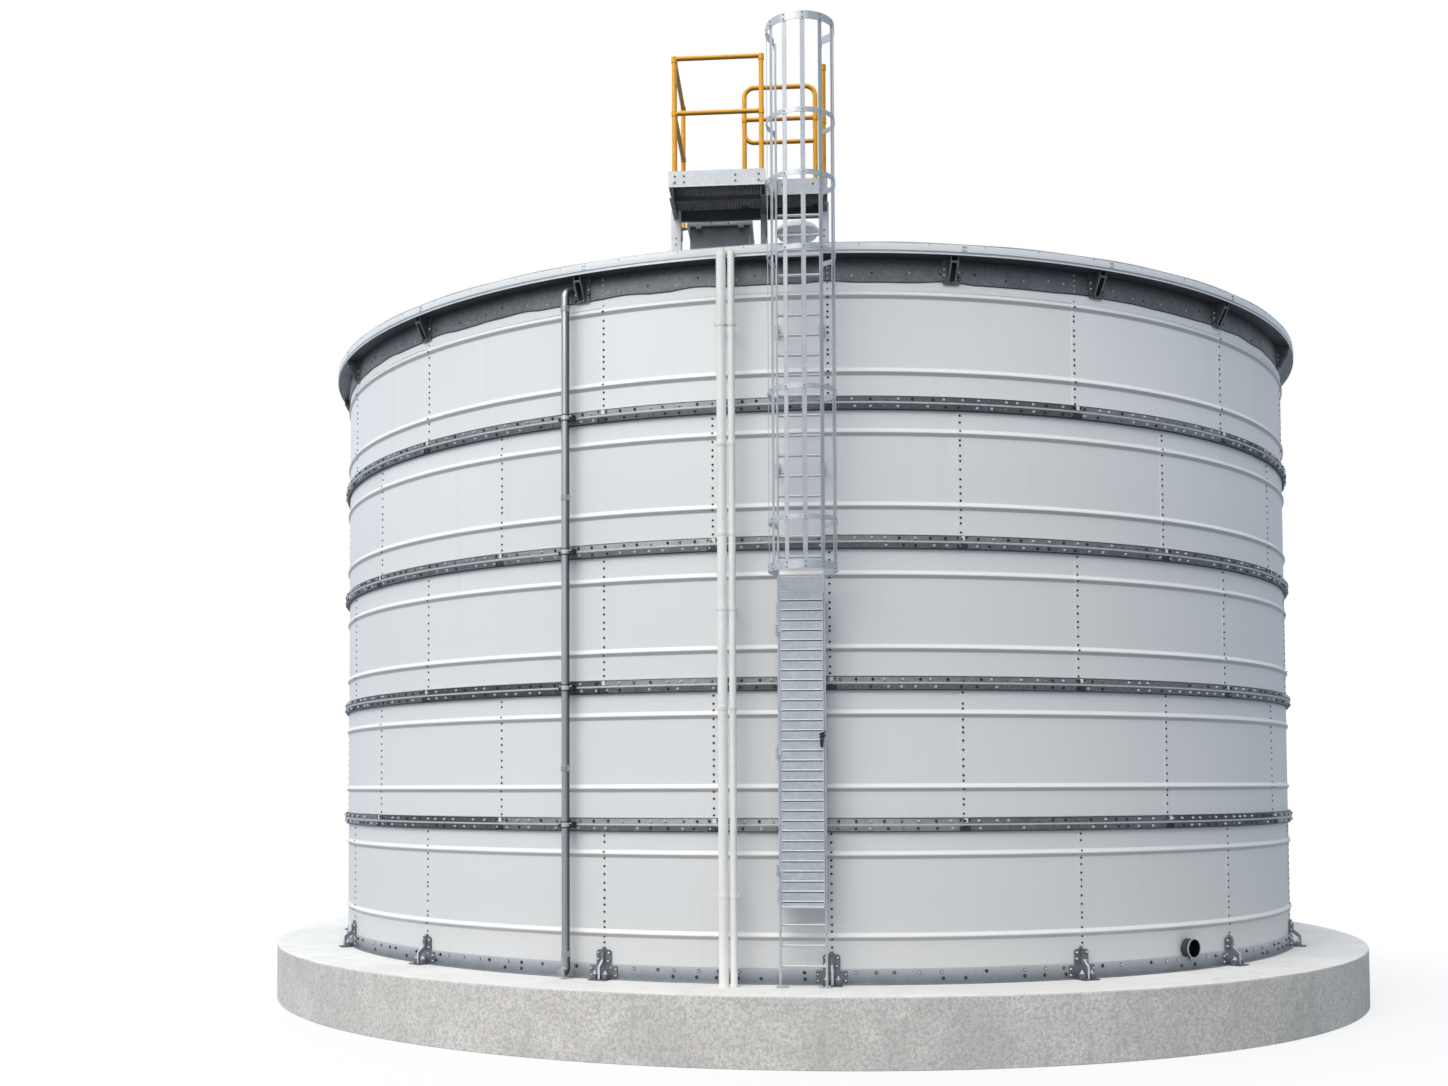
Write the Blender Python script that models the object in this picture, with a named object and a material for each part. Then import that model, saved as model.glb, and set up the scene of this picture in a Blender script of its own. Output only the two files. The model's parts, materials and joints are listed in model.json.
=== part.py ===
"""A bolted steel water tank on a round concrete plinth, with caged ladder and roof platform.

Metres, +Z up. The origin is the centre of the plinth's underside and the ladder faces -Y.
Angles round the tank are counted in degrees from -Y towards +X.
"""
import math

import bmesh
import bpy
from mathutils import Matrix, Vector

# Driving dimensions
PLINTH_RADIUS = 7.09
PLINTH_HEIGHT = 0.69
SHELL_RADIUS = 6.20
SHEET = 0.006
GAP = 0.0003
FACETS = 64
SEAM_ANGLE = 3.15
FACET_ANGLE = 360.0 / FACETS
HALF_FACET = math.radians(FACET_ANGLE / 2)

# Shell courses, heights above the plinth
JOINTS = (1.572, 2.980, 4.390, 5.787)
SHELL_TOP = 7.2577
BEADS = ((0.468, 1.275), (1.942, 2.678), (3.330, 4.066), (4.757, 5.496), (6.108, 6.885))
BEAD_HALF_HEIGHT = 0.043
BEAD_DEPTH = 0.02
SEAM_SHIFT = -2 * FACET_ANGLE

# Stiffener rings
RING_HEIGHT = 0.14
RING_EDGE_DEPTH = 0.03
RING_DEPTH = 0.046

# Base angle and hold-down brackets
BASE_LEG_HEIGHT = 0.15
BASE_THICKNESS = 0.008
BASE_FLANGE = 0.055
FRONT_BRACKETS = (-64.0, -42.9, -19.5, 2.15, 26.4, 47.5, 70.2)
BACK_BRACKETS = 9
BRACKET_HEIGHT = 0.30
BRACKET_WIDTH = 0.17
BRACKET_PLATE = 0.012
BRACKET_OFFSET = 0.002
BRACKET_LIFT = 0.001
WING_WIDTH = 0.31
WING_HEIGHT = 0.14
FOOT_WIDTH = 0.20
FOOT_REACH = 0.185
WEB_THICKNESS = 0.024
WEB_REACH = 0.13
WEB_SHOULDER = 0.13
WEB_NECK = (0.045, 0.20)
WEB_TOP_INSET = 0.02

# Eave
FASCIA_RADIUS = 6.363
FASCIA_TOP = 7.36
SOFFIT = 7.258
EAVE_SHEET = 0.010
SOFFIT_INNER_EDGE = 6.17
SKIRT_BOTTOM = 7.01
SKIRT_THICKNESS = 0.012
GUSSET_THICKNESS = 0.008
GUSSET_SPREAD = 0.072
GUSSET_PLATE = (0.19, 0.010, 0.26)
GUSSET_NOSE = 0.05
GUSSET_TOE = 0.03
GUSSET_SETBACK = 0.02
FRONT_GUSSETS = (-63.0, -43.2, -21.7, 13.8, 29.1, 47.0, 67.3)
BACK_GUSSETS = 11

# Roof
ROOF_SLOPE = math.radians(6.0)
ROOF_SHEET = 0.010
ROOF_SECTORS = ("front", "right", "back", "left")
RIB_WIDTH = 0.05
RIB_HEIGHT = 0.035
RIB_COUNT = 16
RIB_START_MARGIN = 0.05
RIB_END_MARGIN = 0.28
CAP_RADIUS = 0.60
CAP_HOLE = 0.42
CAP_SHEET = 0.012
CAP_CENTRE_HOLE = 0.16
CAP_NECK = (0.18, 0.22)
CAP_HOOD = (0.30, 0.10, 0.10)
CAP_SEAT_LAP = 0.02
HATCH = (-1.17, -0.55, -5.80, -5.20, 7.81)
HATCH_LID = 0.05
HATCH_RIM = 0.03
COWL = (-0.06, -5.55)
COWL_NECK_RADIUS = 0.14
COWL_NECK_LAP = 0.02
COWL_BRIM = (0.19, 0.225, 7.70, 7.76)
COWL_DOME = (0.225, 0.09, 7.87)

# Ladder
LADDER_X = -0.042
LADDER_Y = -6.46
LADDER_WIDTH = 0.47
LADDER_TOP = 9.34
STILE = (0.022, 0.07)
RUNG_RADIUS = 0.014
FIRST_RUNG = 0.21
RUNG_PITCH = 0.20
STAY_HEIGHTS = (0.87, 2.30, 3.72, 5.12, 6.52)
STAY_BAR = (0.024, 0.06)
STAY_PLATE = (0.06, 0.14, 0.008)
FOOT_PLATE = (0.12, 0.12, 0.010)
HEAD_PLATE = 0.006
HEAD_PLATE_GAP = 0.012
KEEPER = (0.024, 0.06)
KEEPER_REACH = 0.03

# Ladder cage
CAGE_X = -0.020
CAGE_Y = -6.73
CAGE_RADIUS = 0.332
HOOPS = ((4.058, 0.08), (4.511, 0.05), (5.76, 0.05), (7.10, 0.05), (7.817, 0.05), (8.423, 0.05),
         (9.342, 0.08))
HOOP_THICKNESS = 0.006
HOOP_END_ANGLE = 122.0
HOOP_STEPS = 12
HOOP_NEAR = 0.005
HOOP_REAR = 0.02
STRAP_ANGLES = tuple(4.0 + 31.5 * k for k in range(-3, 4))
STRAP_WIDTH = 0.045
STRAP_THICKNESS = 0.006

# Ladder guard, a hinged plate that locks over the lower rungs
GUARD_BOTTOM = 0.774
GUARD_TOP = 3.86
GUARD_HEAD_TOP = 4.012
GUARD_WIDTH = 0.425
GUARD_THICKNESS = 0.008
GUARD_CLEARANCE = 0.007
GUARD_LIP = 0.03
HINGE_HEIGHTS = (1.15, 2.30, 3.50)
HINGE_OFFSET = 0.014
KNUCKLE_RADIUS = 0.012
KNUCKLE_LENGTH = 0.08
LUG_HEIGHT = 0.03
PIN_RADIUS = 0.005
PIN_CLEARANCE = 0.0013
HINGE_LEAF = 0.006
BORE_OVERRUN = 0.01
GUARD_LIP_HEIGHT = 0.02
LATCH_HEIGHT = 2.43
LATCH = (0.05, 0.028, 0.11)

# Pipes on the front
WHITE_PIPE_Y = -6.43
WHITE_PIPES = (("overflow_pipe", -0.82, 0.0485), ("inlet_pipe", -0.72, 0.035))
WHITE_PIPE_BEND = 0.075
WHITE_PIPE_TOP = 7.215
WHITE_CLIPS = (0.884, 3.714, 6.55)
WHITE_CLIP = (0.03, 0.04)
WHITE_FOOT = (0.006, 0.014)
DOWNPIPE_ANGLE = -23.0
DOWNPIPE_OUT = 6.33
DOWNPIPE_RADIUS = 0.0425
DOWNPIPE_BEND = 0.08
DOWNPIPE_TOP = 7.05
DOWNPIPE_FOOT = 0.21
SOCKET = (6.90, 6.955, 0.008)
SHOE_HEIGHTS = (0.25, 0.14, 0.065)
SHOE_REACH = 0.09
SHOE_WALL = 0.006
DOWNPIPE_CLIP = 0.04
NOZZLE_ANGLE = 40.0
NOZZLE_HEIGHT = 0.237
NOZZLE_NECK = (0.100, 0.11)
NOZZLE_NECK_START = 0.0135
NOZZLE_FLANGE = (0.104, 0.012)
NOZZLE_PAD = (0.078, 0.016)
NOZZLE_BORE = 0.05
NOZZLE_MOUTH = (0.092, 0.030)
NOZZLE_OVERRUN = 0.1

# Platform at the ladder's head
FLOOR = 7.88
GRATING = 0.03
DECK_LEFT = -1.31
DECK_CORNER = -0.372
DECK_RIGHT = 0.24
DECK_FRONT = -6.68
DECK_BEHIND_LADDER = -6.385
DECK_REAR = -6.00
STRINGER_REAR = -5.45
BEAM_DEPTH = 0.11
BEAM_WIDTH = 0.04
KICK_TOP = 8.01
KICK_SHEET = 0.006
BEARER_DEPTH = 0.05
BEARER_Y = -6.43
WIDE_LEGS = ((-1.29, -6.10), (0.21, -6.20))
WIDE_LEG = 0.10
CORNER_LEG = (-0.402, -6.16, 0.05)
REAR_LEGS = ((-1.292, -5.50), (-0.390, -5.50))
REAR_LEG = 0.034
RAIL_RADIUS = 0.024
RAIL_TOP = 9.15
RAIL_MID = 8.60
POST_INSET = 0.05
CORNER_POST_INSET = 0.03
FRONT_POST_MARGIN = 0.01
SIDE_POST_MARGIN = 0.012
POST_SPACE = 0.002
REAR_RAIL_INSET = 0.06
REAR_LOOP = (-0.59, 0.13)
REAR_LOOP_BARS = (8.52, 8.76)
REAR_LOOP_TOP = 9.09
REAR_LOOP_BEND = 0.10

# Facets on round bars, and how far joined solids reach into each other
PIPE_SIDES = 12
NECK_SIDES = 16
RAIL_SIDES = 8
RUNG_SIDES = 6
OVERLAP = 0.004
SLIVER = 0.001
SLIM = 0.0015
SMOOTH_ANGLE = math.radians(35.0)

parts = None
cutters = None
materials = {}

FINISHES = {
    "concrete": ((0.56, 0.55, 0.53), 0.9, 0.0),
    "shell_enamel": ((0.84, 0.84, 0.83), 0.35, 0.0),
    "galvanised_dark": ((0.22, 0.23, 0.24), 0.55, 0.8),
    "galvanised_light": ((0.62, 0.64, 0.66), 0.45, 0.8),
    "pipe_white": ((0.80, 0.79, 0.76), 0.5, 0.0),
    "rail_yellow": ((0.85, 0.47, 0.04), 0.45, 0.0),
    "grating_dark": ((0.10, 0.10, 0.10), 0.7, 0.6),
    "cowl_white": ((0.86, 0.87, 0.88), 0.4, 0.0),
    "iron_dark": ((0.10, 0.11, 0.12), 0.6, 0.3),
}


def above(height):
    """Height in the model of a point given above the plinth's top."""
    return PLINTH_HEIGHT + height


def direction(angle):
    """Unit vector that points out of the tank at an angle from -Y towards +X."""
    turn = math.radians(angle)
    return Vector((math.sin(turn), -math.cos(turn), 0.0))


def clear_scene():
    """Remove what the scene holds and make the two collections."""
    global parts, cutters
    for item in list(bpy.data.objects):
        bpy.data.objects.remove(item, do_unlink=True)
    parts = bpy.data.collections.new("water_tank")
    cutters = bpy.data.collections.new("cutters")
    bpy.context.scene.collection.children.link(parts)
    bpy.context.scene.collection.children.link(cutters)


def finish(name):
    """Principled material for a finish, made once."""
    if name not in materials:
        colour, roughness, metallic = FINISHES[name]
        material = bpy.data.materials.new(name)
        material.use_nodes = True
        shader = material.node_tree.nodes["Principled BSDF"]
        shader.inputs["Base Color"].default_value = (*colour, 1.0)
        shader.inputs["Roughness"].default_value = roughness
        shader.inputs["Metallic"].default_value = metallic
        materials[name] = material
    return materials[name]


def new_object(name, mesh, collection, look=None):
    """Link a mesh under a name and give it its material."""
    item = bpy.data.objects.new(name, mesh)
    collection.objects.link(item)
    if look:
        mesh.materials.append(finish(look))
    return item


def mesh_from(bm, name):
    """Store a bmesh with its faces turned outwards, smooth over its shallow edges."""
    bmesh.ops.recalc_face_normals(bm, faces=bm.faces)
    mesh = bpy.data.meshes.new(name)
    bm.to_mesh(mesh)
    bm.free()
    mesh.shade_smooth()
    mesh.set_sharp_from_angle(angle=SMOOTH_ANGLE)
    return mesh


def box(low, high, turn=None):
    """Box between two corners, turned afterwards by a matrix."""
    low, high = Vector(low), Vector(high)
    bm = bmesh.new()
    bmesh.ops.create_cube(bm, size=1.0)
    bmesh.ops.scale(bm, vec=high - low, verts=bm.verts)
    bmesh.ops.translate(bm, vec=(low + high) / 2, verts=bm.verts)
    if turn is not None:
        bmesh.ops.transform(bm, matrix=turn, verts=bm.verts)
    return mesh_from(bm, "box")


def radial_box(angle, inner, outer, left, right, low, high):
    """Box that points out of the tank: inner and outer distance, sideways span, heights."""
    turn = Matrix.Rotation(math.radians(angle - 90.0), 4, "Z")
    return box((inner, left, low), (outer, right, high), turn)


def rod(start, end, radius, sides=RAIL_SIDES, end_radius=None):
    """Straight round bar or cone between two points."""
    start, end = Vector(start), Vector(end)
    axis = end - start
    bm = bmesh.new()
    bmesh.ops.create_cone(bm, cap_ends=True, segments=sides, radius1=radius,
                          radius2=radius if end_radius is None else end_radius, depth=axis.length)
    turn = axis.to_track_quat("Z", "Y").to_matrix().to_4x4()
    bmesh.ops.transform(bm, matrix=Matrix.Translation((start + end) / 2) @ turn, verts=bm.verts)
    return mesh_from(bm, "rod")


def tube_along(points, radius, sides):
    """Bent bar along a path: a bevelled curve with caps, made a mesh with its caps welded."""
    curve = bpy.data.curves.new("path", "CURVE")
    curve.dimensions = "3D"
    curve.bevel_depth = radius
    curve.bevel_resolution = sides // 2 - 2
    curve.use_fill_caps = True
    spline = curve.splines.new("POLY")
    spline.points.add(len(points) - 1)
    for point, place in zip(spline.points, points):
        point.co = (*place, 1.0)
    item = bpy.data.objects.new("path", curve)
    bpy.context.scene.collection.objects.link(item)
    graph = bpy.context.evaluated_depsgraph_get()
    mesh = bpy.data.meshes.new_from_object(item.evaluated_get(graph))
    bpy.data.objects.remove(item)
    bm = bmesh.new()
    bm.from_mesh(mesh)
    bmesh.ops.remove_doubles(bm, verts=bm.verts, dist=0.00005)
    return mesh_from(bm, "tube")


def plate(outline, thickness, turn):
    """Flat outline in XY with a thickness, centred on its plane and then turned by a matrix."""
    curve = bpy.data.curves.new("outline", "CURVE")
    curve.dimensions = "2D"
    curve.fill_mode = "BOTH"
    curve.extrude = thickness / 2
    spline = curve.splines.new("POLY")
    spline.points.add(len(outline) - 1)
    spline.use_cyclic_u = True
    for point, place in zip(spline.points, outline):
        point.co = (*place, 0.0, 1.0)
    item = bpy.data.objects.new("outline", curve)
    bpy.context.scene.collection.objects.link(item)
    graph = bpy.context.evaluated_depsgraph_get()
    mesh = bpy.data.meshes.new_from_object(item.evaluated_get(graph))
    bpy.data.objects.remove(item)
    bm = bmesh.new()
    bm.from_mesh(mesh)
    bmesh.ops.remove_doubles(bm, verts=bm.verts, dist=0.00005)
    bmesh.ops.transform(bm, matrix=turn, verts=bm.verts)
    return mesh_from(bm, "plate")


def part(name, look, first, others=(), cut=()):
    """One named part: a first solid, the solids joined to it and the solids cut out of it."""
    item = new_object(name, first, parts, look)
    for operation, solids in (("UNION", others), ("DIFFERENCE", cut)):
        if not solids:
            continue
        group = bpy.data.collections.new(name + "_" + operation.lower())
        cutters.children.link(group)
        for index, mesh in enumerate(solids):
            tool = new_object(f"{name}_{operation.lower()}_{index:02d}", mesh, group)
            tool.hide_render = True
            tool.display_type = "WIRE"
        modifier = item.modifiers.new(operation.capitalize(), "BOOLEAN")
        modifier.operation = operation
        modifier.operand_type = "COLLECTION"
        modifier.collection = group
        modifier.solver = "EXACT"
    return item


def ring_mesh(profile, facets=FACETS):
    """Closed ring: a closed outline of (radius, height) points spun through the full circle."""
    bm = bmesh.new()
    corners = [bm.verts.new((radius, 0.0, height)) for radius, height in profile]
    edges = [bm.edges.new(pair) for pair in zip(corners, corners[1:] + corners[:1])]
    bmesh.ops.spin(bm, geom=corners + edges, cent=(0, 0, 0), axis=(0, 0, 1), angle=2 * math.pi,
                   steps=facets, use_merge=True, use_duplicate=False)
    turn = Matrix.Rotation(math.radians(SEAM_ANGLE - 90.0), 3, "Z")
    bmesh.ops.rotate(bm, cent=(0, 0, 0), matrix=turn, verts=bm.verts)
    return mesh_from(bm, "ring")


def arc_mesh(profile, start, end):
    """Part of a ring: the face inside an outline of (radius, height) points, spun between two angles."""
    steps = round((end - start) / FACET_ANGLE)
    bm = bmesh.new()
    face = bm.faces.new([bm.verts.new((radius, 0.0, height)) for radius, height in profile])
    bmesh.ops.spin(bm, geom=[face] + face.edges[:] + face.verts[:], cent=(0, 0, 0), axis=(0, 0, 1),
                   angle=math.radians(end - start), steps=steps, use_duplicate=False)
    turn = Matrix.Rotation(math.radians(start - 90.0), 3, "Z")
    bmesh.ops.rotate(bm, cent=(0, 0, 0), matrix=turn, verts=bm.verts)
    return mesh_from(bm, "arc")


def build_plinth():
    """Round concrete base."""
    bm = bmesh.new()
    bmesh.ops.create_cone(bm, cap_ends=True, segments=FACETS, radius1=PLINTH_RADIUS,
                          radius2=PLINTH_RADIUS, depth=PLINTH_HEIGHT)
    bmesh.ops.translate(bm, vec=(0, 0, PLINTH_HEIGHT / 2), verts=bm.verts)
    turn = Matrix.Rotation(math.radians(SEAM_ANGLE - 90.0), 3, "Z")
    bmesh.ops.rotate(bm, cent=(0, 0, 0), matrix=turn, verts=bm.verts)
    part("plinth", "concrete", mesh_from(bm, "plinth"))


def course_profile(bottom, top, beads):
    """Outline of one course's wall, with its two rolled beads."""
    points = [(SHELL_RADIUS, top)]
    for middle in sorted((above(bead) for bead in beads), reverse=True):
        points.append((SHELL_RADIUS, middle + BEAD_HALF_HEIGHT))
        points.append((SHELL_RADIUS + BEAD_DEPTH, middle))
        points.append((SHELL_RADIUS, middle - BEAD_HALF_HEIGHT))
    points.append((SHELL_RADIUS, bottom))
    points.append((SHELL_RADIUS - SHEET, bottom))
    points.append((SHELL_RADIUS - SHEET, top))
    return points


def build_shell():
    """Five courses, each in a front and a back half that meet at sheet seams."""
    gap_angle = math.degrees(GAP / 2 / SHELL_RADIUS)
    edges = (0.0, *JOINTS, SHELL_TOP)
    for course, beads in enumerate(BEADS):
        profile = course_profile(above(edges[course]) + GAP, above(edges[course + 1]), beads)
        shift = SEAM_SHIFT if course % 2 else 0.0
        for side, start in (("front", SEAM_ANGLE + shift - 90.0), ("back", SEAM_ANGLE + shift + 90.0)):
            mesh = arc_mesh(profile, start + gap_angle, start + 180.0 - gap_angle)
            part(f"shell_course_{course + 1}_{side}", "shell_enamel", mesh)


def build_stiffener_rings():
    """Rolled rings over the joints between courses."""
    inner = SHELL_RADIUS + GAP
    for index, joint in enumerate(JOINTS):
        middle = above(joint)
        low, high = middle - RING_HEIGHT / 2, middle + RING_HEIGHT / 2
        edge, crest = SHELL_RADIUS + RING_EDGE_DEPTH, SHELL_RADIUS + RING_DEPTH
        profile = [(edge, high), (crest, middle), (edge, low), (inner, low), (inner, high)]
        part(f"stiffener_ring_{index + 1}", "galvanised_dark", ring_mesh(profile))


def even_angles(front, number):
    """Angles seen at the front, then as many again evenly round the back as asked for."""
    step = (front[0] + 360.0 - front[-1]) / (number + 1)
    return list(front) + [front[-1] + step * (index + 1) for index in range(number)]


def bracket_solids(angle):
    """Foot plate, back plate, low wings and the standing web of one hold-down bracket."""
    back = SHELL_RADIUS + BRACKET_OFFSET
    foot = above(GAP) + BRACKET_LIFT
    top = above(BRACKET_HEIGHT)
    neck, waist = WEB_NECK
    turn = Matrix.Rotation(math.radians(angle - 90.0), 4, "Z") @ Matrix.Rotation(math.radians(90.0), 4, "X")

    def block(inner, outer, low, high, width):
        return plate([(inner, low), (outer, low), (outer, high), (inner, high)], width, turn)

    sole = block(back + SLIVER, back + FOOT_REACH, foot, foot + BRACKET_PLATE, FOOT_WIDTH)
    spine = block(back, back + BRACKET_PLATE, foot + SLIVER, top, BRACKET_WIDTH)
    wing_face = back + BRACKET_PLATE - SLIVER
    wings = block(back + SLIVER, wing_face, foot + OVERLAP, above(WING_HEIGHT), WING_WIDTH)
    root, web_foot, web_top = back + OVERLAP, foot + OVERLAP, top - WEB_TOP_INSET
    web = [(root, web_foot), (back + WEB_REACH, web_foot), (back + WEB_REACH, above(WEB_SHOULDER)),
           (back + neck, above(waist)), (back + neck, web_top), (root, web_top)]
    return [sole, spine, wings, plate(web, WEB_THICKNESS, turn)]


def build_base():
    """Base angle round the shell's foot with a hold-down bracket at each seam."""
    inner = SHELL_RADIUS + GAP
    face = inner + BASE_THICKNESS
    foot = above(GAP)
    profile = [(face, above(BASE_LEG_HEIGHT)), (face, foot + BASE_THICKNESS),
               (SHELL_RADIUS + BASE_FLANGE, foot + BASE_THICKNESS), (SHELL_RADIUS + BASE_FLANGE, foot),
               (inner, foot), (inner, above(BASE_LEG_HEIGHT))]
    brackets = []
    for angle in even_angles(FRONT_BRACKETS, BACK_BRACKETS):
        brackets += bracket_solids(angle)
    part("base_angle", "galvanised_light", ring_mesh(profile), brackets)


def gusset_solids(angle):
    """Eave bracket: a back plate on the skirt and two thin webs that slope up to the fascia."""
    near = SHELL_RADIUS + GAP * 2 + SKIRT_THICKNESS
    nose = FASCIA_RADIUS - GUSSET_SETBACK
    width, thickness, depth = GUSSET_PLATE
    top, low = above(SOFFIT) + OVERLAP, above(SOFFIT) - depth
    root, web_foot, web_top = near + SLIVER, low + GUSSET_TOE, top + SLIVER
    web = [(root, web_foot), (near + GUSSET_TOE, web_foot), (nose, above(SOFFIT) - GUSSET_NOSE),
           (nose, web_top), (root, web_top)]
    spin = Matrix.Rotation(math.radians(angle - 90.0), 4, "Z")
    upright = Matrix.Rotation(math.radians(90.0), 4, "X")
    back = [(near, low), (near + thickness, low), (near + thickness, top), (near, top)]
    solids = [plate(back, width, spin @ upright)]
    for side in (-1, 1):
        shift = Matrix.Translation((0, side * GUSSET_SPREAD / 2, 0))
        solids.append(plate(web, GUSSET_THICKNESS, spin @ shift @ upright))
    return solids


def build_eave():
    """Overhanging eave: soffit plate, fascia and gussets, and the skirt on the shell below it."""
    bottom, top = above(SOFFIT), above(FASCIA_TOP)
    inner = SOFFIT_INNER_EDGE
    profile = [(FASCIA_RADIUS, top), (FASCIA_RADIUS, bottom), (inner, bottom), (inner, bottom + EAVE_SHEET),
               (FASCIA_RADIUS - EAVE_SHEET, bottom + EAVE_SHEET), (FASCIA_RADIUS - EAVE_SHEET, top)]
    gussets = []
    for angle in even_angles(FRONT_GUSSETS, BACK_GUSSETS):
        gussets += gusset_solids(angle)
    part("eave", "galvanised_light", ring_mesh(profile), gussets)
    near = SHELL_RADIUS + GAP
    skirt = [(near + SKIRT_THICKNESS, above(SOFFIT) - GAP), (near + SKIRT_THICKNESS, above(SKIRT_BOTTOM)),
             (near, above(SKIRT_BOTTOM)), (near, above(SOFFIT) - GAP)]
    part("eave_skirt", "galvanised_dark", ring_mesh(skirt))


def roof_height(radius):
    """Height of the roof sheet's underside at a distance from the axis."""
    return above(FASCIA_TOP) + GAP + (FASCIA_RADIUS - radius) * math.tan(ROOF_SLOPE)


def roof_top(x, y):
    """Height of a seat on the roof sheet at a point, 0.3 mm clear of the flat facet under it."""
    turn = math.degrees(math.atan2(x, -y)) - SEAM_ANGLE
    off_middle = (turn % FACET_ANGLE) - FACET_ANGLE / 2
    corner_radius = math.hypot(x, y) * math.cos(math.radians(off_middle)) / math.cos(HALF_FACET)
    return roof_height(corner_radius) + ROOF_SHEET + GAP


def leg(x, y, width, top):
    """Square leg that stands on the roof."""
    half = width / 2
    foot = max(roof_top(x + dx * half, y + dy * half) for dx in (-1, 1) for dy in (-1, 1))
    return box((x - half, y - half, foot), (x + half, y + half, top))


def build_roof():
    """Low cone in four sectors with radial ribs, and a vented cap over the centre."""
    gap_angle = math.degrees(GAP / 2 / CAP_HOLE)
    low_edge, high_edge = roof_height(FASCIA_RADIUS), roof_height(CAP_HOLE)
    profile = [(FASCIA_RADIUS, low_edge + ROOF_SHEET), (FASCIA_RADIUS, low_edge),
               (CAP_HOLE, high_edge), (CAP_HOLE, high_edge + ROOF_SHEET)]
    sector = 360.0 / len(ROOF_SECTORS)
    pitch = 360.0 / RIB_COUNT
    near, far = CAP_RADIUS + RIB_START_MARGIN, FASCIA_RADIUS - RIB_END_MARGIN
    half = (far - near) / 2 / math.cos(ROOF_SLOPE)
    middle = (near + far) / 2
    lift = Matrix.Translation((middle, 0, roof_height(middle) + ROOF_SHEET))
    tilt = Matrix.Rotation(ROOF_SLOPE, 4, "Y")
    for index, side in enumerate(ROOF_SECTORS):
        start = SEAM_ANGLE - 2.5 * pitch + sector * index
        ribs = []
        for rib in range(round(sector / pitch)):
            spin = Matrix.Rotation(math.radians(start + pitch * (rib + 0.5) - 90.0), 4, "Z")
            ribs.append(box((-half, -RIB_WIDTH / 2, -ROOF_SHEET / 2), (half, RIB_WIDTH / 2, RIB_HEIGHT),
                            spin @ lift @ tilt))
        mesh = arc_mesh(profile, start + gap_angle, start + sector - gap_angle)
        part(f"roof_{side}", "galvanised_light", mesh, ribs)


def build_roof_cap():
    """Sheet disc over the roof's centre with a short vent neck and its hood."""
    seat = roof_height(CAP_RADIUS) + ROOF_SHEET + GAP * 3
    inner_seat = seat + (CAP_RADIUS - CAP_CENTRE_HOLE) * math.tan(ROOF_SLOPE)
    cap = [(CAP_RADIUS, seat + CAP_SHEET), (CAP_RADIUS, seat), (CAP_CENTRE_HOLE, inner_seat),
           (CAP_CENTRE_HOLE, inner_seat + CAP_SHEET)]
    neck_radius, neck_height = CAP_NECK
    hood_radius, hood_top_radius, hood_height = CAP_HOOD
    neck_foot = inner_seat - CAP_SEAT_LAP
    neck = rod((0, 0, neck_foot), (0, 0, inner_seat + neck_height), neck_radius, NECK_SIDES)
    hood_foot = inner_seat + neck_height - CAP_SEAT_LAP
    hood = rod((0, 0, hood_foot), (0, 0, hood_foot + hood_height), hood_radius, NECK_SIDES, hood_top_radius)
    part("roof_cap", "galvanised_light", ring_mesh(cap, FACETS // 2), [neck, hood])


def build_roof_items():
    """Access hatch beside the platform and the white vent cowl behind the ladder."""
    left, right, near, far, top = HATCH
    brow = above(top - HATCH_LID)
    side = [(-near, roof_top(right, near)), (-near, brow), (-far, brow), (-far, roof_top(right, far))]
    turn = Matrix.Rotation(math.radians(-90.0), 4, "Z") @ Matrix.Rotation(math.radians(90.0), 4, "X")
    upstand = plate(side, right - left, Matrix.Translation(((left + right) / 2, 0, 0)) @ turn)
    lid_low = (left - HATCH_RIM, near - HATCH_RIM, brow - OVERLAP)
    lid_high = (right + HATCH_RIM, far + HATCH_RIM, above(top))
    lid = box(lid_low, lid_high)
    part("roof_hatch", "galvanised_light", upstand, [lid])
    x, y = COWL
    low_radius, high_radius, brim_low, brim_high = COWL_BRIM
    dome_radius, crown_radius, crown = COWL_DOME
    seat = roof_top(x, y + COWL_NECK_RADIUS)
    neck = rod((x, y, seat), (x, y, above(brim_high - COWL_NECK_LAP)), COWL_NECK_RADIUS, NECK_SIDES)
    brim = rod((x, y, above(brim_low)), (x, y, above(brim_high)), low_radius, NECK_SIDES, high_radius)
    dome_foot = (x, y, above(brim_high - OVERLAP))
    dome = rod(dome_foot, (x, y, above(crown)), dome_radius, NECK_SIDES, crown_radius)
    part("roof_vent", "cowl_white", neck, [brim, dome])


def wall_stay(x, height):
    """Bar from a stile back to the flat of the wall, with a wall plate."""
    facet = SEAM_ANGLE - FACET_ANGLE / 2
    wall = SHELL_RADIUS * math.cos(HALF_FACET) + GAP
    along = x * math.cos(math.radians(facet)) + LADDER_Y * math.sin(math.radians(facet))
    out = -LADDER_Y
    bar_width, bar_height = STAY_BAR
    plate_width, plate_height, plate_depth = STAY_PLATE
    bar = radial_box(facet, wall + OVERLAP, out, along - bar_width / 2, along + bar_width / 2,
                     above(height - bar_height / 2), above(height + bar_height / 2))
    back = radial_box(facet, wall, wall + plate_depth, along - plate_width / 2, along + plate_width / 2,
                      above(height - plate_height / 2), above(height + plate_height / 2))
    return [bar, back]


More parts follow.
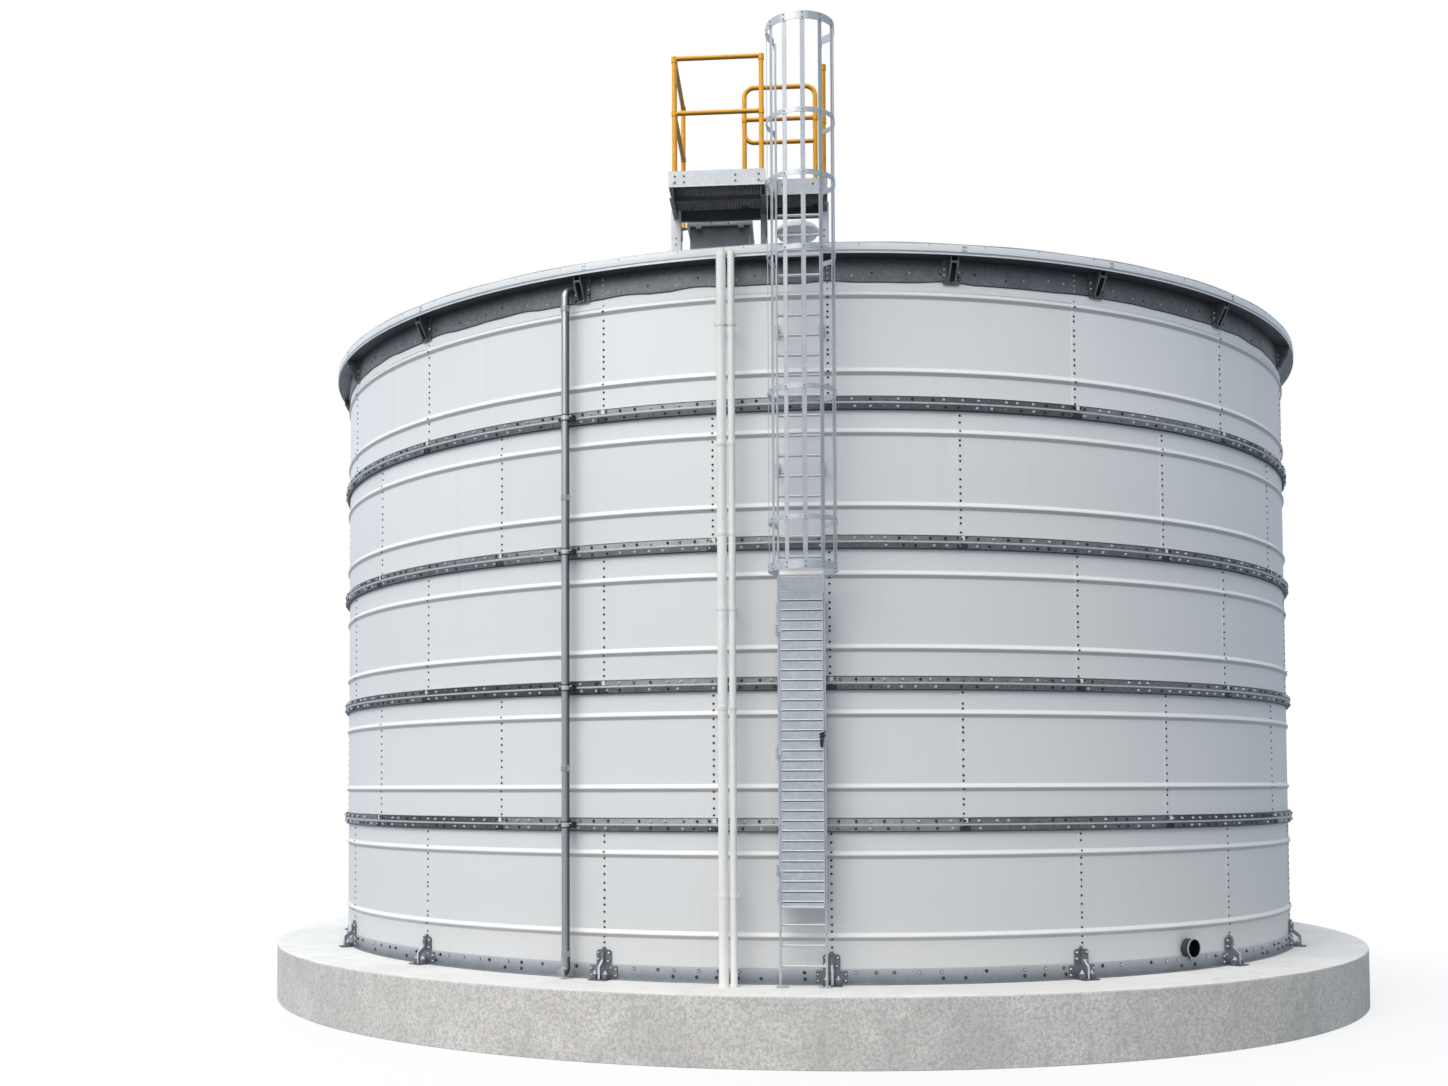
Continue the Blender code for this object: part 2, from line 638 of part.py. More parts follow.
def build_ladder():
    """Two stiles, rungs, wall stays, foot plates, the fixed head plate and the hinge pins."""
    half = LADDER_WIDTH / 2
    depth = STILE[1] / 2
    foot = above(GAP)
    foot_width, foot_depth, foot_thickness = FOOT_PLATE
    solids = []
    for side in (-1, 1):
        outer = LADDER_X + side * half
        inner = outer - side * STILE[0]
        solids.append(box((min(outer, inner), LADDER_Y - depth, foot),
                          (max(outer, inner), LADDER_Y + depth, above(LADDER_TOP))))
        sole = outer - side * foot_width / 4
        solids.append(box((sole - foot_width / 2, LADDER_Y - foot_depth / 2, foot),
                          (sole + foot_width / 2, LADDER_Y + foot_depth / 2, foot + foot_thickness)))
        for height in STAY_HEIGHTS:
            solids += wall_stay(outer - side * STILE[0] / 2, height)
    rungs = int((FLOOR - 0.2 - FIRST_RUNG) / RUNG_PITCH) + 1
    for index in range(rungs):
        height = above(FIRST_RUNG + RUNG_PITCH * index)
        solids.append(rod((LADDER_X - half + STILE[0] / 3, LADDER_Y, height),
                          (LADDER_X + half - STILE[0] / 3, LADDER_Y, height), RUNG_RADIUS, RUNG_SIDES))
    front = LADDER_Y - depth
    head = half - STILE[0] / 2
    solids.append(box((LADDER_X - head, front - HEAD_PLATE, above(GUARD_TOP + HEAD_PLATE_GAP)),
                      (LADDER_X + head, front + OVERLAP / 2, above(GUARD_HEAD_TOP))))
    for height in HINGE_HEIGHTS:
        solids += hinge_lug(height)
    keeper_width, keeper_height = KEEPER
    keeper_left = LADDER_X + half - OVERLAP
    keeper_low, keeper_high = LATCH_HEIGHT - keeper_height / 2, LATCH_HEIGHT + keeper_height / 2
    solids.append(box((keeper_left, front - keeper_width, above(keeper_low)),
                      (keeper_left + keeper_width, front + KEEPER_REACH, above(keeper_high))))
    part("ladder", "galvanised_light", solids[0], solids[1:])


def hinge_axis():
    """X and Y of the guard's hinge line."""
    x = LADDER_X - LADDER_WIDTH / 2 - HINGE_OFFSET
    y = LADDER_Y - STILE[1] / 2 - GUARD_CLEARANCE - GUARD_THICKNESS / 2
    return x, y


def hinge_lug(height):
    """Lug on the left stile with the pin that carries one knuckle."""
    x, y = hinge_axis()
    top = above(height) - KNUCKLE_LENGTH / 2 - GAP
    edge = LADDER_X - LADDER_WIDTH / 2 + OVERLAP
    margin = PIN_RADIUS * 2
    lug = box((x - margin, y - margin, top - LUG_HEIGHT), (edge, LADDER_Y - PIN_RADIUS, top))
    pin_top = above(height) + KNUCKLE_LENGTH / 2 + OVERLAP
    pin = rod((x, y, top - margin), (x, y, pin_top), PIN_RADIUS, RAIL_SIDES)
    return [lug, pin]


def build_guard():
    """Hinged plate over the lower rungs: plate, bottom lip, stiffening edge and knuckles."""
    x, y = hinge_axis()
    left, right = LADDER_X - GUARD_WIDTH / 2, LADDER_X + GUARD_WIDTH / 2
    back, front = y + GUARD_THICKNESS / 2, y - GUARD_THICKNESS / 2
    panel = box((left, front, above(GUARD_BOTTOM)), (right, back, above(GUARD_TOP)))
    solids = [box((left, front - GUARD_LIP, above(GUARD_BOTTOM)),
                  (right, front + OVERLAP / 2, above(GUARD_BOTTOM + GUARD_LIP_HEIGHT)))]
    bores = []
    leaf_back, leaf_front = y + HINGE_LEAF / 2, y - HINGE_LEAF / 2
    for height in HINGE_HEIGHTS:
        low, high = above(height) - KNUCKLE_LENGTH / 2, above(height) + KNUCKLE_LENGTH / 2
        solids.append(rod((x, y, low), (x, y, high), KNUCKLE_RADIUS, PIPE_SIDES))
        solids.append(box((x, leaf_front, low), (left + KNUCKLE_RADIUS * 2, leaf_back, high)))
        bores.append(rod((x, y, low - BORE_OVERRUN), (x, y, high + BORE_OVERRUN), PIN_RADIUS + PIN_CLEARANCE,
                         RAIL_SIDES))
    part("ladder_guard", "galvanised_light", panel, solids, bores)
    latch_width, latch_depth, latch_height = LATCH
    latch_x = right - latch_width * 0.9
    body = box((latch_x, front - GAP - latch_depth, above(LATCH_HEIGHT - latch_height / 2)),
               (latch_x + latch_width, front - GAP, above(LATCH_HEIGHT + latch_height / 2)))
    part("guard_latch", "iron_dark", body)


def hoop_path():
    """Points of a hoop from the left stile round the front to the right stile."""
    side = LADDER_WIDTH / 2 + GAP + HOOP_THICKNESS / 2
    rear, near = LADDER_Y + HOOP_REAR, LADDER_Y - STILE[1] / 2 - HOOP_NEAR
    points = [(LADDER_X - side, rear), (LADDER_X - side, near)]
    for step in range(HOOP_STEPS + 1):
        turn = math.radians(HOOP_END_ANGLE * (2.0 * step / HOOP_STEPS - 1.0))
        points.append((CAGE_X + CAGE_RADIUS * math.sin(turn), CAGE_Y - CAGE_RADIUS * math.cos(turn)))
    points += [(LADDER_X + side, near), (LADDER_X + side, rear)]
    return points


def ribbon(points, height, low, thickness):
    """Upright flat bar along a plan path: each point is moved square to the path by half the thickness."""
    path = [Vector(point) for point in points]
    left, right = [], []
    for index, point in enumerate(path):
        before = (point - path[index - 1]).normalized() if index else None
        after = (path[index + 1] - point).normalized() if index < len(path) - 1 else None
        first = before or after
        second = after or before
        across = (Vector((-first.y, first.x)) + Vector((-second.y, second.x))).normalized()
        reach = thickness / 2 / across.dot(Vector((-first.y, first.x)))
        left.append(point + across * reach)
        right.append(point - across * reach)
    outline = [tuple(point) for point in left + right[::-1]]
    return plate(outline, height, Matrix.Translation((0, 0, low + height / 2)))


def build_cage():
    """Hoops from stile to stile and the upright straps inside them."""
    points = hoop_path()
    solids = [ribbon(points, height, above(middle - height / 2), HOOP_THICKNESS) for middle, height in HOOPS]
    low = HOOPS[0][0] - HOOPS[0][1] / 2 + OVERLAP
    high = HOOPS[-1][0] + HOOPS[-1][1] / 2 - OVERLAP
    inner = CAGE_RADIUS - STRAP_THICKNESS - OVERLAP
    for angle in STRAP_ANGLES:
        place = Matrix.Translation((CAGE_X, CAGE_Y, 0)) @ Matrix.Rotation(math.radians(angle - 90.0), 4, "Z")
        solids.append(box((inner, -STRAP_WIDTH / 2, above(low)),
                          (inner + STRAP_THICKNESS + OVERLAP, STRAP_WIDTH / 2, above(high)), place))
    part("ladder_cage", "galvanised_light", solids[0], solids[1:])


def bend(corner, before, after, radius, steps=4):
    """Points of a quarter bend at a corner, between the directions it comes from and leaves in."""
    before, after = Vector(before).normalized(), Vector(after).normalized()
    start = Vector(corner) - before * radius
    centre = start + after * radius
    points = []
    for step in range(steps + 1):
        turn = math.pi / 2 * step / steps
        points.append(centre - after * radius * math.cos(turn) + before * radius * math.sin(turn))
    return points


def build_white_pipes():
    """Two white pipes from the plinth up past the eave, held to the wall by clips."""
    facet = SEAM_ANGLE - FACET_ANGLE * 1.5
    wall = SHELL_RADIUS * math.cos(HALF_FACET) + GAP
    clip_width, clip_height = WHITE_CLIP
    collar, collar_top = WHITE_FOOT
    for name, x, radius in WHITE_PIPES:
        eave = -math.sqrt(FASCIA_RADIUS ** 2 - (abs(x) - radius) ** 2) - GAP * 2
        crown = above(WHITE_PIPE_TOP + WHITE_PIPE_BEND)
        corner = (x, WHITE_PIPE_Y, crown)
        points = [Vector((x, WHITE_PIPE_Y, above(GAP)))]
        points += bend(corner, (0, 0, 1), (0, 1, 0), WHITE_PIPE_BEND)
        points.append(Vector((x, eave, crown)))
        foot, collar_head = (x, WHITE_PIPE_Y, above(GAP)), (x, WHITE_PIPE_Y, above(collar_top))
        solids = [rod(foot, collar_head, radius + collar, PIPE_SIDES)]
        turn = math.radians(facet)
        along = x * math.cos(turn) + WHITE_PIPE_Y * math.sin(turn)
        out = x * math.sin(turn) - WHITE_PIPE_Y * math.cos(turn)
        for height in WHITE_CLIPS:
            solids.append(radial_box(facet, wall, out, along - clip_width / 2, along + clip_width / 2,
                                     above(height - clip_height / 2), above(height + clip_height / 2)))
        part(name, "pipe_white", tube_along(points, radius, PIPE_SIDES), solids)


def build_downpipe():
    """Grey rainwater pipe from under the eave to a shoe over the plinth."""
    out = direction(DOWNPIPE_ANGLE)
    facet = SEAM_ANGLE - FACET_ANGLE * 4.5
    line = out * DOWNPIPE_OUT
    skirt = SHELL_RADIUS + SKIRT_THICKNESS + GAP * 3
    crown = above(DOWNPIPE_TOP + DOWNPIPE_BEND)
    points = [Vector((*line.xy, above(DOWNPIPE_FOOT)))]
    points += bend((*line.xy, crown), (0, 0, 1), -out, DOWNPIPE_BEND)
    points.append(out * (skirt + GAP) + Vector((0, 0, crown)))
    socket_low, socket_high, socket_wall = SOCKET
    socket = (*line.xy, above(socket_low)), (*line.xy, above(socket_high))
    solids = [rod(*socket, DOWNPIPE_RADIUS + socket_wall, PIPE_SIDES)]
    shoe_top, shoe_heel, shoe_mouth = (line + Vector((0, 0, above(height))) for height in SHOE_HEIGHTS)
    shoe_mouth += out * SHOE_REACH
    solids.append(tube_along([shoe_top, shoe_heel, shoe_mouth], DOWNPIPE_RADIUS + SHOE_WALL, PIPE_SIDES))
    turn = math.radians(facet)
    along = line.x * math.cos(turn) + line.y * math.sin(turn)
    reach = line.x * math.sin(turn) - line.y * math.cos(turn)
    ring_face = (SHELL_RADIUS + RING_DEPTH) * math.cos(HALF_FACET) + GAP
    half = DOWNPIPE_CLIP / 2
    for joint in JOINTS:
        solids.append(radial_box(facet, ring_face, reach, along - half, along + half,
                                 above(joint) - half, above(joint) + half))
    part("downpipe", "pipe_white", tube_along(points, DOWNPIPE_RADIUS, PIPE_SIDES), solids)


def build_nozzle():
    """Short wide outlet low on the shell: a pad on the wall, a thin-walled stub and a rim at its mouth."""
    facet = SEAM_ANGLE + FACET_ANGLE * 6.5
    wall = SHELL_RADIUS * math.cos(HALF_FACET) + GAP
    out = direction(facet)
    side = Vector((-out.y, out.x, 0))
    centre = side * (math.radians(NOZZLE_ANGLE - facet) * SHELL_RADIUS) + Vector((0, 0, above(NOZZLE_HEIGHT)))
    neck_radius, neck_length = NOZZLE_NECK
    flange_radius, flange_thickness = NOZZLE_FLANGE
    pad_radius, pad_thickness = NOZZLE_PAD
    face = wall + neck_length + OVERLAP / 2
    neck = rod(centre + out * (wall + NOZZLE_NECK_START), centre + out * (wall + neck_length), neck_radius,
               NECK_SIDES)
    flange = rod(centre + out * (face - flange_thickness), centre + out * face, flange_radius, NECK_SIDES)
    pad = rod(centre + out * wall, centre + out * (wall + pad_thickness), pad_radius, NECK_SIDES)
    bore = rod(centre + out * (wall - BORE_OVERRUN), centre + out * (face + NOZZLE_OVERRUN), NOZZLE_BORE,
               NECK_SIDES)
    mouth_radius, mouth_start = NOZZLE_MOUTH
    mouth = rod(centre + out * (wall + mouth_start), centre + out * (face + NOZZLE_OVERRUN), mouth_radius,
                NECK_SIDES)
    part("outlet_nozzle", "iron_dark", neck, [flange, pad], [bore, mouth])


def build_platform():
    """Frame with legs, and the L-shaped grating that lies on it."""
    top = above(FLOOR - GRATING)
    low = top - BEAM_DEPTH
    w = BEAM_WIDTH
    inset = SLIVER
    left, corner, right = DECK_LEFT + w / 2, DECK_CORNER - w / 2, DECK_RIGHT - w / 2
    left_beam = box((DECK_LEFT, DECK_FRONT, low), (DECK_LEFT + w, STRINGER_REAR, top))
    others = [
        box((DECK_CORNER - w, DECK_FRONT, low), (DECK_CORNER, STRINGER_REAR, top)),
        box((DECK_RIGHT - w, DECK_BEHIND_LADDER, low), (DECK_RIGHT, DECK_REAR, top)),
        box((left, BEARER_Y, top - BEARER_DEPTH), (corner, BEARER_Y + w, top - inset)),
        box((left, DECK_REAR - w, low + inset), (right, DECK_REAR - inset, top - 2 * inset)),
    ]
    legs = [(x, y, WIDE_LEG) for x, y in WIDE_LEGS]
    legs += [CORNER_LEG]
    legs += [(x, y, REAR_LEG) for x, y in REAR_LEGS]
    others += [leg(x, y, width, low + w / 2) for x, y, width in legs]
    part("platform_frame", "galvanised_light", left_beam, others)
    outline = [(DECK_LEFT, DECK_FRONT), (DECK_CORNER, DECK_FRONT), (DECK_CORNER, DECK_BEHIND_LADDER),
               (DECK_RIGHT, DECK_BEHIND_LADDER), (DECK_RIGHT, DECK_REAR), (DECK_LEFT, DECK_REAR)]
    thickness = GRATING - GAP
    lift = Matrix.Translation((0, 0, top + GAP + thickness / 2))
    part("platform_grating", "grating_dark", plate(outline, thickness, lift))


def build_kick_plates():
    """Toe board round the deck's outer edges, bolted to the deck's side."""
    out = GAP + KICK_SHEET / 2
    left, corner, right = DECK_LEFT - out, DECK_CORNER + out, DECK_RIGHT + out
    front, behind = DECK_FRONT - out, DECK_BEHIND_LADDER - out
    path = [(left, DECK_REAR), (left, front), (corner, front), (corner, behind), (right, behind),
            (right, DECK_REAR)]
    base = above(FLOOR - GRATING)
    part("kick_plates", "galvanised_light", ribbon(path, above(KICK_TOP) - base, base, KICK_SHEET))


def fence(name, start, end, feet, heights):
    """Straight guard rail: two posts that stand at their feet and the level bars between them."""
    r = RAIL_RADIUS
    posts = [rod((*place, foot), (*place, above(RAIL_TOP) + r), r) for place, foot in zip((start, end), feet)]
    bars = [rod((*start, above(height)), (*end, above(height)), r - SLIM) for height in heights]
    part(name, "rail_yellow", posts[0], posts[1:] + bars)


def build_rails():
    """Yellow guard rails: front, left, right and the looped panel at the rear."""
    r = RAIL_RADIUS
    floor = above(FLOOR) + GAP
    stringer = above(FLOOR - GRATING) + GAP
    heights = (RAIL_MID, RAIL_TOP)
    left_x = DECK_LEFT + POST_INSET
    front_y = DECK_FRONT + r + FRONT_POST_MARGIN
    corner_x = DECK_CORNER - CORNER_POST_INSET
    fence("front_rail", (left_x, front_y), (corner_x, front_y), (floor, floor), heights)
    near_y = front_y + 2 * r + POST_SPACE
    fence("left_rail", (left_x, near_y), (left_x, STRINGER_REAR - POST_INSET), (floor, stringer), heights)
    rear_y = DECK_REAR - REAR_RAIL_INSET
    right_x = DECK_RIGHT - CORNER_POST_INSET
    near_y = DECK_BEHIND_LADDER + r + SIDE_POST_MARGIN
    fence("right_rail", (right_x, near_y), (right_x, rear_y), (floor, floor), heights)
    a, b = REAR_LOOP
    loop_top = above(REAR_LOOP_TOP)
    loop = [Vector((a, rear_y, floor))]
    loop += bend((a, rear_y, loop_top), (0, 0, 1), (1, 0, 0), REAR_LOOP_BEND)
    loop += bend((b, rear_y, loop_top), (1, 0, 0), (0, 0, -1), REAR_LOOP_BEND)
    loop.append(Vector((b, rear_y, floor)))
    bars = []
    for height in REAR_LOOP_BARS:
        bars.append(rod((a, rear_y, above(height)), (b, rear_y, above(height)), r - SLIM))
    part("rear_rail", "rail_yellow", tube_along(loop, r, RAIL_SIDES), bars)


def main():
    """Build every part of the tank."""
    clear_scene()
    build_plinth()
    build_shell()
    build_stiffener_rings()
    build_base()
    build_eave()
    build_roof()
    build_roof_cap()
    build_roof_items()
    build_ladder()
    build_guard()
    build_cage()
    build_white_pipes()
    build_downpipe()
    build_nozzle()
    build_platform()
    build_kick_plates()
    build_rails()


main()
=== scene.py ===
"""Finishes a bolted steel water tank around its packed frame, laid out as an add-on.

Metres, +Z up. Angles round the tank are in degrees from -Y, where the ladder is, towards +X.
Heights are above the plinth's top, unless a name says otherwise.
"""
import json
import math

import bmesh
import bpy
import numpy as np
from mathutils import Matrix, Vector


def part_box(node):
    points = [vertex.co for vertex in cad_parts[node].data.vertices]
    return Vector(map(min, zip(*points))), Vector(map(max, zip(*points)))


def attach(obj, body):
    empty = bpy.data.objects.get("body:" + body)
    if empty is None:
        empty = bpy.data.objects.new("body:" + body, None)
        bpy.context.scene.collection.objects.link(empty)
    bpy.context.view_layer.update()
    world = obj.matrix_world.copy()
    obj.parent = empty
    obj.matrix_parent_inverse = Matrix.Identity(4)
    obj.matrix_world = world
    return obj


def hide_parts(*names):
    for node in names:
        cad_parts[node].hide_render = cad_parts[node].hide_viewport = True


bl_info = {
    "name": "Water Tank Finish",
    "version": (1, 0, 0),
    "blender": (4, 5, 0),
    "location": "View3D > Sidebar > Water Tank",
    "description": "Builds the finished sheets, bolts, ladder and rails of a water tank",
    "category": "Object",
}

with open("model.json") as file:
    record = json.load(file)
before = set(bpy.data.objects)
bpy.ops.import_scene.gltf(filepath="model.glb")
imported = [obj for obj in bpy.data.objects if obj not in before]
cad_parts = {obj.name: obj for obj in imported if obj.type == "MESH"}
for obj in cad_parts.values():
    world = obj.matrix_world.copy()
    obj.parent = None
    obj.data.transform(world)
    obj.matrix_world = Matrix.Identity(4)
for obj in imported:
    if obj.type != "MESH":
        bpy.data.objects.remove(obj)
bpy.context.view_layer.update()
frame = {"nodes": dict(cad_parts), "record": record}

# Places that come from the frame
PLINTH_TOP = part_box("plinth")[1].z
PLINTH_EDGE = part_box("plinth")[1].x
RING_BOXES = [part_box(f"stiffener_ring_{index}") for index in (1, 2, 3, 4)]
JOINTS = [(low.z + high.z) / 2 - PLINTH_TOP for low, high in RING_BOXES]
EAVE_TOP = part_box("eave")[1].z - PLINTH_TOP
SKIRT_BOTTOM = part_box("eave_skirt")[0].z - PLINTH_TOP
SHELL_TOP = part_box("shell_course_5_front")[1].z - PLINTH_TOP

# The shell. Front seams are the sheet edges that show, first for courses 1, 3 and 5, then for 2 and 4
SHELL_RADIUS = 6.20
SEAM_ANGLE = 3.15
SEAM_PITCH = 22.5
SEAM_SHIFT = -11.25
SEAMS = 16
FRONT_SEAMS = ((-64.0, -42.9, -19.5, 2.2, 26.6, 47.7, 70.4), (-75.6, -53.5, -31.55, -8.6, 14.55, 37.6, 60.2))
SHEET = 0.004
LAP = 0.030
GAP = 0.0003

# Beads: their middles in each course, and an outline as shares of half a bead's height and of its depth
BEADS = ((0.468, 1.275), (1.942, 2.678), (3.330, 4.066), (4.757, 5.496), (6.108, 6.885))
BEAD_HALF_HEIGHT = 0.043
BEAD_SHAPE = ((1.0, 0.0), (0.84, 0.12), (0.20, 0.88), (0.08, 0.98))
SHEET_STEPS = 14
CURB_BOTTOM = 6.925

# Stiffener rings: distance out of the shell, height about the joint, and tone
RING_BAND = 0.0362
# RING_SHAPE's tones: painted highlight on the top lip and the middle ridge, painted shade under the top lip
# and along the bottom edge.
RING_SHAPE = ((0.0006, 0.0775, 1.0), (0.011, 0.0775, 1.0), (0.012, 0.0705, 0.9), (0.028, 0.070, 0.3),
              (0.030, 0.067, 0.05), (0.0305, 0.062, 0.05), (0.0315, 0.060, 0.32), (0.042, 0.012, 0.34),
              (0.0455, 0.006, 0.9), (0.046, 0.0, 1.0), (0.0455, -0.006, 0.9), (0.042, -0.012, 0.45),
              (0.0315, -0.060, 0.42), (0.030, -0.064, 0.0), (0.029, -0.070, 0.0), (0.0006, -0.070, 0.0))

# Base angle and its brackets
BASE_LEG = 0.155
BASE_FLANGE = 0.055
FRONT_BRACKETS = (-64.0, -42.9, -19.5, 2.15, 26.4, 47.5, 70.2)
BACK_BRACKETS = 9

# Eave and roof
FASCIA_RADIUS = 6.363
SOFFIT = 7.258
FRONT_GUSSETS = (-63.0, -43.2, -21.7, 13.8, 29.1, 47.0, 67.3)
BACK_GUSSETS = 11
GUSSET_BOTTOM = -0.260
ROOF_SLOPE = math.radians(6.0)
ROOF_SHEET = 0.008
ROOF_PANELS = 32
SEAM_MARGIN = 0.28
CAP_RADIUS = 0.60

# Hatch, cowl and cap on the roof
HATCH_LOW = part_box("roof_hatch")[0]
HATCH_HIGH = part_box("roof_hatch")[1]
HATCH_RIM = 0.03
COWL = (-0.06, -5.55)
COWL_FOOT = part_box("roof_vent")[0].z
CAP_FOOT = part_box("roof_cap")[0].z

# Ladder, its cage and its guard. A hoop has the height of its middle and of its flat bar
LADDER_X = -0.042
LADDER_Y = -6.46
LADDER_HALF = 0.235
LADDER_TOP = 9.34
STILE = (0.022, 0.07)
STILE_FRONT = LADDER_Y - STILE[1] / 2
RUNG_RADIUS = 0.014
FIRST_RUNG = 0.21
RUNG_PITCH = 0.20
RUNGS = 38
STAYS = (0.87, 2.30, 3.72, 5.12, 6.52)
CAGE = np.array([-0.020, -6.73, 0.0])
CAGE_RADIUS = 0.332
HOOPS = ((4.058, 0.08), (4.511, 0.05), (5.76, 0.05), (7.10, 0.05), (7.817, 0.05), (8.423, 0.05),
         (9.342, 0.08))
HOOP_SHEET = 0.006
HOOP_END = 122.0
STRAP_PITCH = 31.5
STRAP_WIDTH = 0.045
GUARD_BOTTOM = 0.774
GUARD_TOP = 3.86
GUARD_HEAD = 4.012
GUARD_WIDTH = 0.425
GUARD_SHEET = 0.008
GUARD_FACE = -6.506
CREASE_PITCH = 0.098
HINGES = (1.15, 2.30, 3.50)
HINGE_X = -0.291
LATCH_HEIGHT = 2.43

# Pipes. A white pipe has its node, its place across and its radius
PIPE_Y = -6.43
PIPES = (("overflow_pipe", -0.82, 0.0485), ("inlet_pipe", -0.72, 0.035))
PIPE_BEND = 0.075
PIPE_TOP = 7.215
PIPE_CLIPS = (0.884, 3.714, 6.55)
PIPE_JOINTS = (2.73, 4.46, 5.35)
DOWNPIPE_ANGLE = -23.0
DOWNPIPE_OUT = 6.33
DOWNPIPE_RADIUS = 0.0425
DOWNPIPE_BEND = 0.08
DOWNPIPE_TOP = 7.05
DOWNPIPE_SOCKETS = (0.25, 2.15, 4.95, 6.93)
NOZZLE_ANGLE = 40.0
NOZZLE_HEIGHT = 0.237

# Platform
FLOOR = 7.88
GRATING = 0.03
GRATING_PITCH = 0.030
DECK_LEFT = -1.31
DECK_CORNER = -0.372
DECK_RIGHT = 0.24
DECK_FRONT = -6.68
DECK_BEHIND_LADDER = -6.385
DECK_REAR = -6.00
STRINGER_REAR = -5.45
BEAM = (0.04, 0.11)
KICK_TOP = 8.01
RAIL_RADIUS = 0.024
RAIL_TOP = 9.15
RAIL_MID = 8.60
LOOP = (-0.59, 0.13)
LOOP_BARS = (8.52, 8.76)
LOOP_TOP = 9.09
LOOP_BEND = 0.10

# Platform legs: x, y, width, depth, tone, and where the flange of a flat one starts
LEGS = ((-1.29, -6.10, 0.10, 0.012, 0.75, 0.038), (0.21, -6.20, 0.10, 0.012, 0.75, -0.050),
        (-0.402, -6.16, 0.05, 0.05, 0.20, None), (-1.292, -5.50, 0.034, 0.034, 0.75, None),
        (-0.390, -5.50, 0.034, 0.034, 0.75, None))

# Segments round a full circle, and fineness of round bars
ROUND_STEPS = 288
PIPE_STEPS = 24
RAIL_STEPS = 16
BOLT_STEPS = 8

# The photograph's view: a pinhole camera, solved from the tank's own rings
CAMERA_PLACE = (0.0, -21.982, 2.653)
CAMERA_YAW = math.radians(-4.7396)
CAMERA_PITCH = math.radians(2.3315)
CAMERA_ROLL = math.radians(-0.1911)
CAMERA_LENS = 39.365
CAMERA_SHIFT = (0.0337, 0.1234)

# Directions that copies are laid along
X_AXIS, Y_AXIS, Z_AXIS = np.eye(3)
UPRIGHT = (X_AXIS, Y_AXIS, Z_AXIS)
FACING_FRONT = (X_AXIS, Z_AXIS, -Y_AXIS)


def length(name, words, default, low, high):
    """A size in metres that a user may change."""
    return bpy.props.FloatProperty(name=name, description=words, default=default, min=low, max=high,
                                   unit="LENGTH")


def paint(name, words, default, high=1.0):
    """A colour that a user may change."""
    return bpy.props.FloatVectorProperty(name=name, description=words, default=default, min=0.0, max=high,
                                         subtype="COLOR")


def strength(name, words, default):
    """A strength of light that a user may change."""
    return bpy.props.FloatProperty(name=name, description=words, default=default, min=0.0)


def turning(name, words, default, low, high):
    """An angle that a user may change, with its default and bounds in degrees."""
    return bpy.props.FloatProperty(name=name, description=words, default=math.radians(default),
                                   min=math.radians(low), max=math.radians(high), subtype="ANGLE")


class TankSizes(bpy.types.PropertyGroup):
    """Small sizes of the finish that can be changed without touching the frame."""

    bead_depth: length("Bead depth", "How far the rolled beads stand out of the shell", 0.022, 0.0, 0.022)
    bolt_pitch: length("Seam bolt pitch", "Mean spacing of the bolts down a sheet seam", 0.078, 0.04, 0.3)
    bolt_scatter: length("Seam bolt scatter", "How unevenly the seam bolts are spaced", 0.019, 0.0, 0.02)
    ring_bolt_pitch: length("Ring bolt pitch", "Mean spacing of the bolts along a ring", 0.158, 0.05, 0.5)
    bolt_head: length("Bolt head", "Radius of a seam bolt's head", 0.0085, 0.004, 0.02)
    skirt_wave: length("Skirt wave", "How far the skirt's lower edge wanders up and down", 0.018, 0.0, 0.04)
    rim_wear: length("Rim wear", "Depth of the chips along the plinth's rim", 0.005, 0.0, 0.02)


class TankColours(bpy.types.PropertyGroup):
    """Base colours of the finishes."""

    enamel: paint("Enamel", "Coated shell sheets", (0.795, 0.80, 0.80))
    zinc_light: paint("Light zinc", "Fresh zinc of ladder, cage and eave", (0.62, 0.65, 0.68))
    zinc_dark: paint("Dark zinc", "Weathered zinc of rings and skirt", (0.23, 0.242, 0.25))
    zinc_base: paint("Base zinc", "Zinc of the base angle and brackets", (0.27, 0.292, 0.32))
    concrete: paint("Concrete", "Side of the plinth", (0.73, 0.695, 0.655))
    rail: paint("Rail paint", "Guard rails", (1.0, 0.46, 0.022))
    pipe: paint("White pipe", "The two pipes beside the ladder", (0.86, 0.85, 0.83))


class TankLight(bpy.types.PropertyGroup):
    """Studio light round the tank."""

    even: strength("Even", "Strength of the sky in every direction", 0.305)
    left: strength("Left", "Strength added towards the left", 0.115)
    overhead: strength("Overhead", "Strength added above", 0.258)
    overhead_left: strength("Overhead left", "More strength added above on the left", 0.475)
    below: strength("Below", "Strength that the pale floor throws back up", 0.02)
    rear: strength("Rear", "Strength added behind the tank", 0.22)
    box: strength("Soft box", "Strength of the soft box", 2.95)
    box_size: turning("Soft box width", "Angle that the soft box takes up", 52.0, 5.0, 170.0)
    box_turn: turning("Soft box turn", "Angle of the soft box from the ladder's side", -29.0, -180.0, 180.0)
    box_height: turning("Soft box height", "Angle of the soft box above the floor", 45.0, 0.0, 90.0)
    sky_colour: paint("Sky", "Colour of the sky", (0.875, 1.0, 1.14), 2.0)
    box_colour: paint("Soft box colour", "Colour of the soft box", (1.10, 1.0, 0.89), 2.0)


class Value:
    """One socket in shader maths. Each operator adds a Math node and gives its result."""

    def __init__(self, finish, socket):
        self.finish, self.socket = finish, socket

    def maths(self, operation, first, second):
        return self.finish.node("ShaderNodeMath", {0: first, 1: second}, {"operation": operation})

    def __add__(self, other):
        return self.maths("ADD", self, other)

    def __radd__(self, other):
        return self.maths("ADD", other, self)

    def __sub__(self, other):
        return self.maths("SUBTRACT", self, other)

    def __rsub__(self, other):
        return self.maths("SUBTRACT", other, self)

    def __mul__(self, other):
        return self.maths("MULTIPLY", self, other)

    def __rmul__(self, other):
        return self.maths("MULTIPLY", other, self)


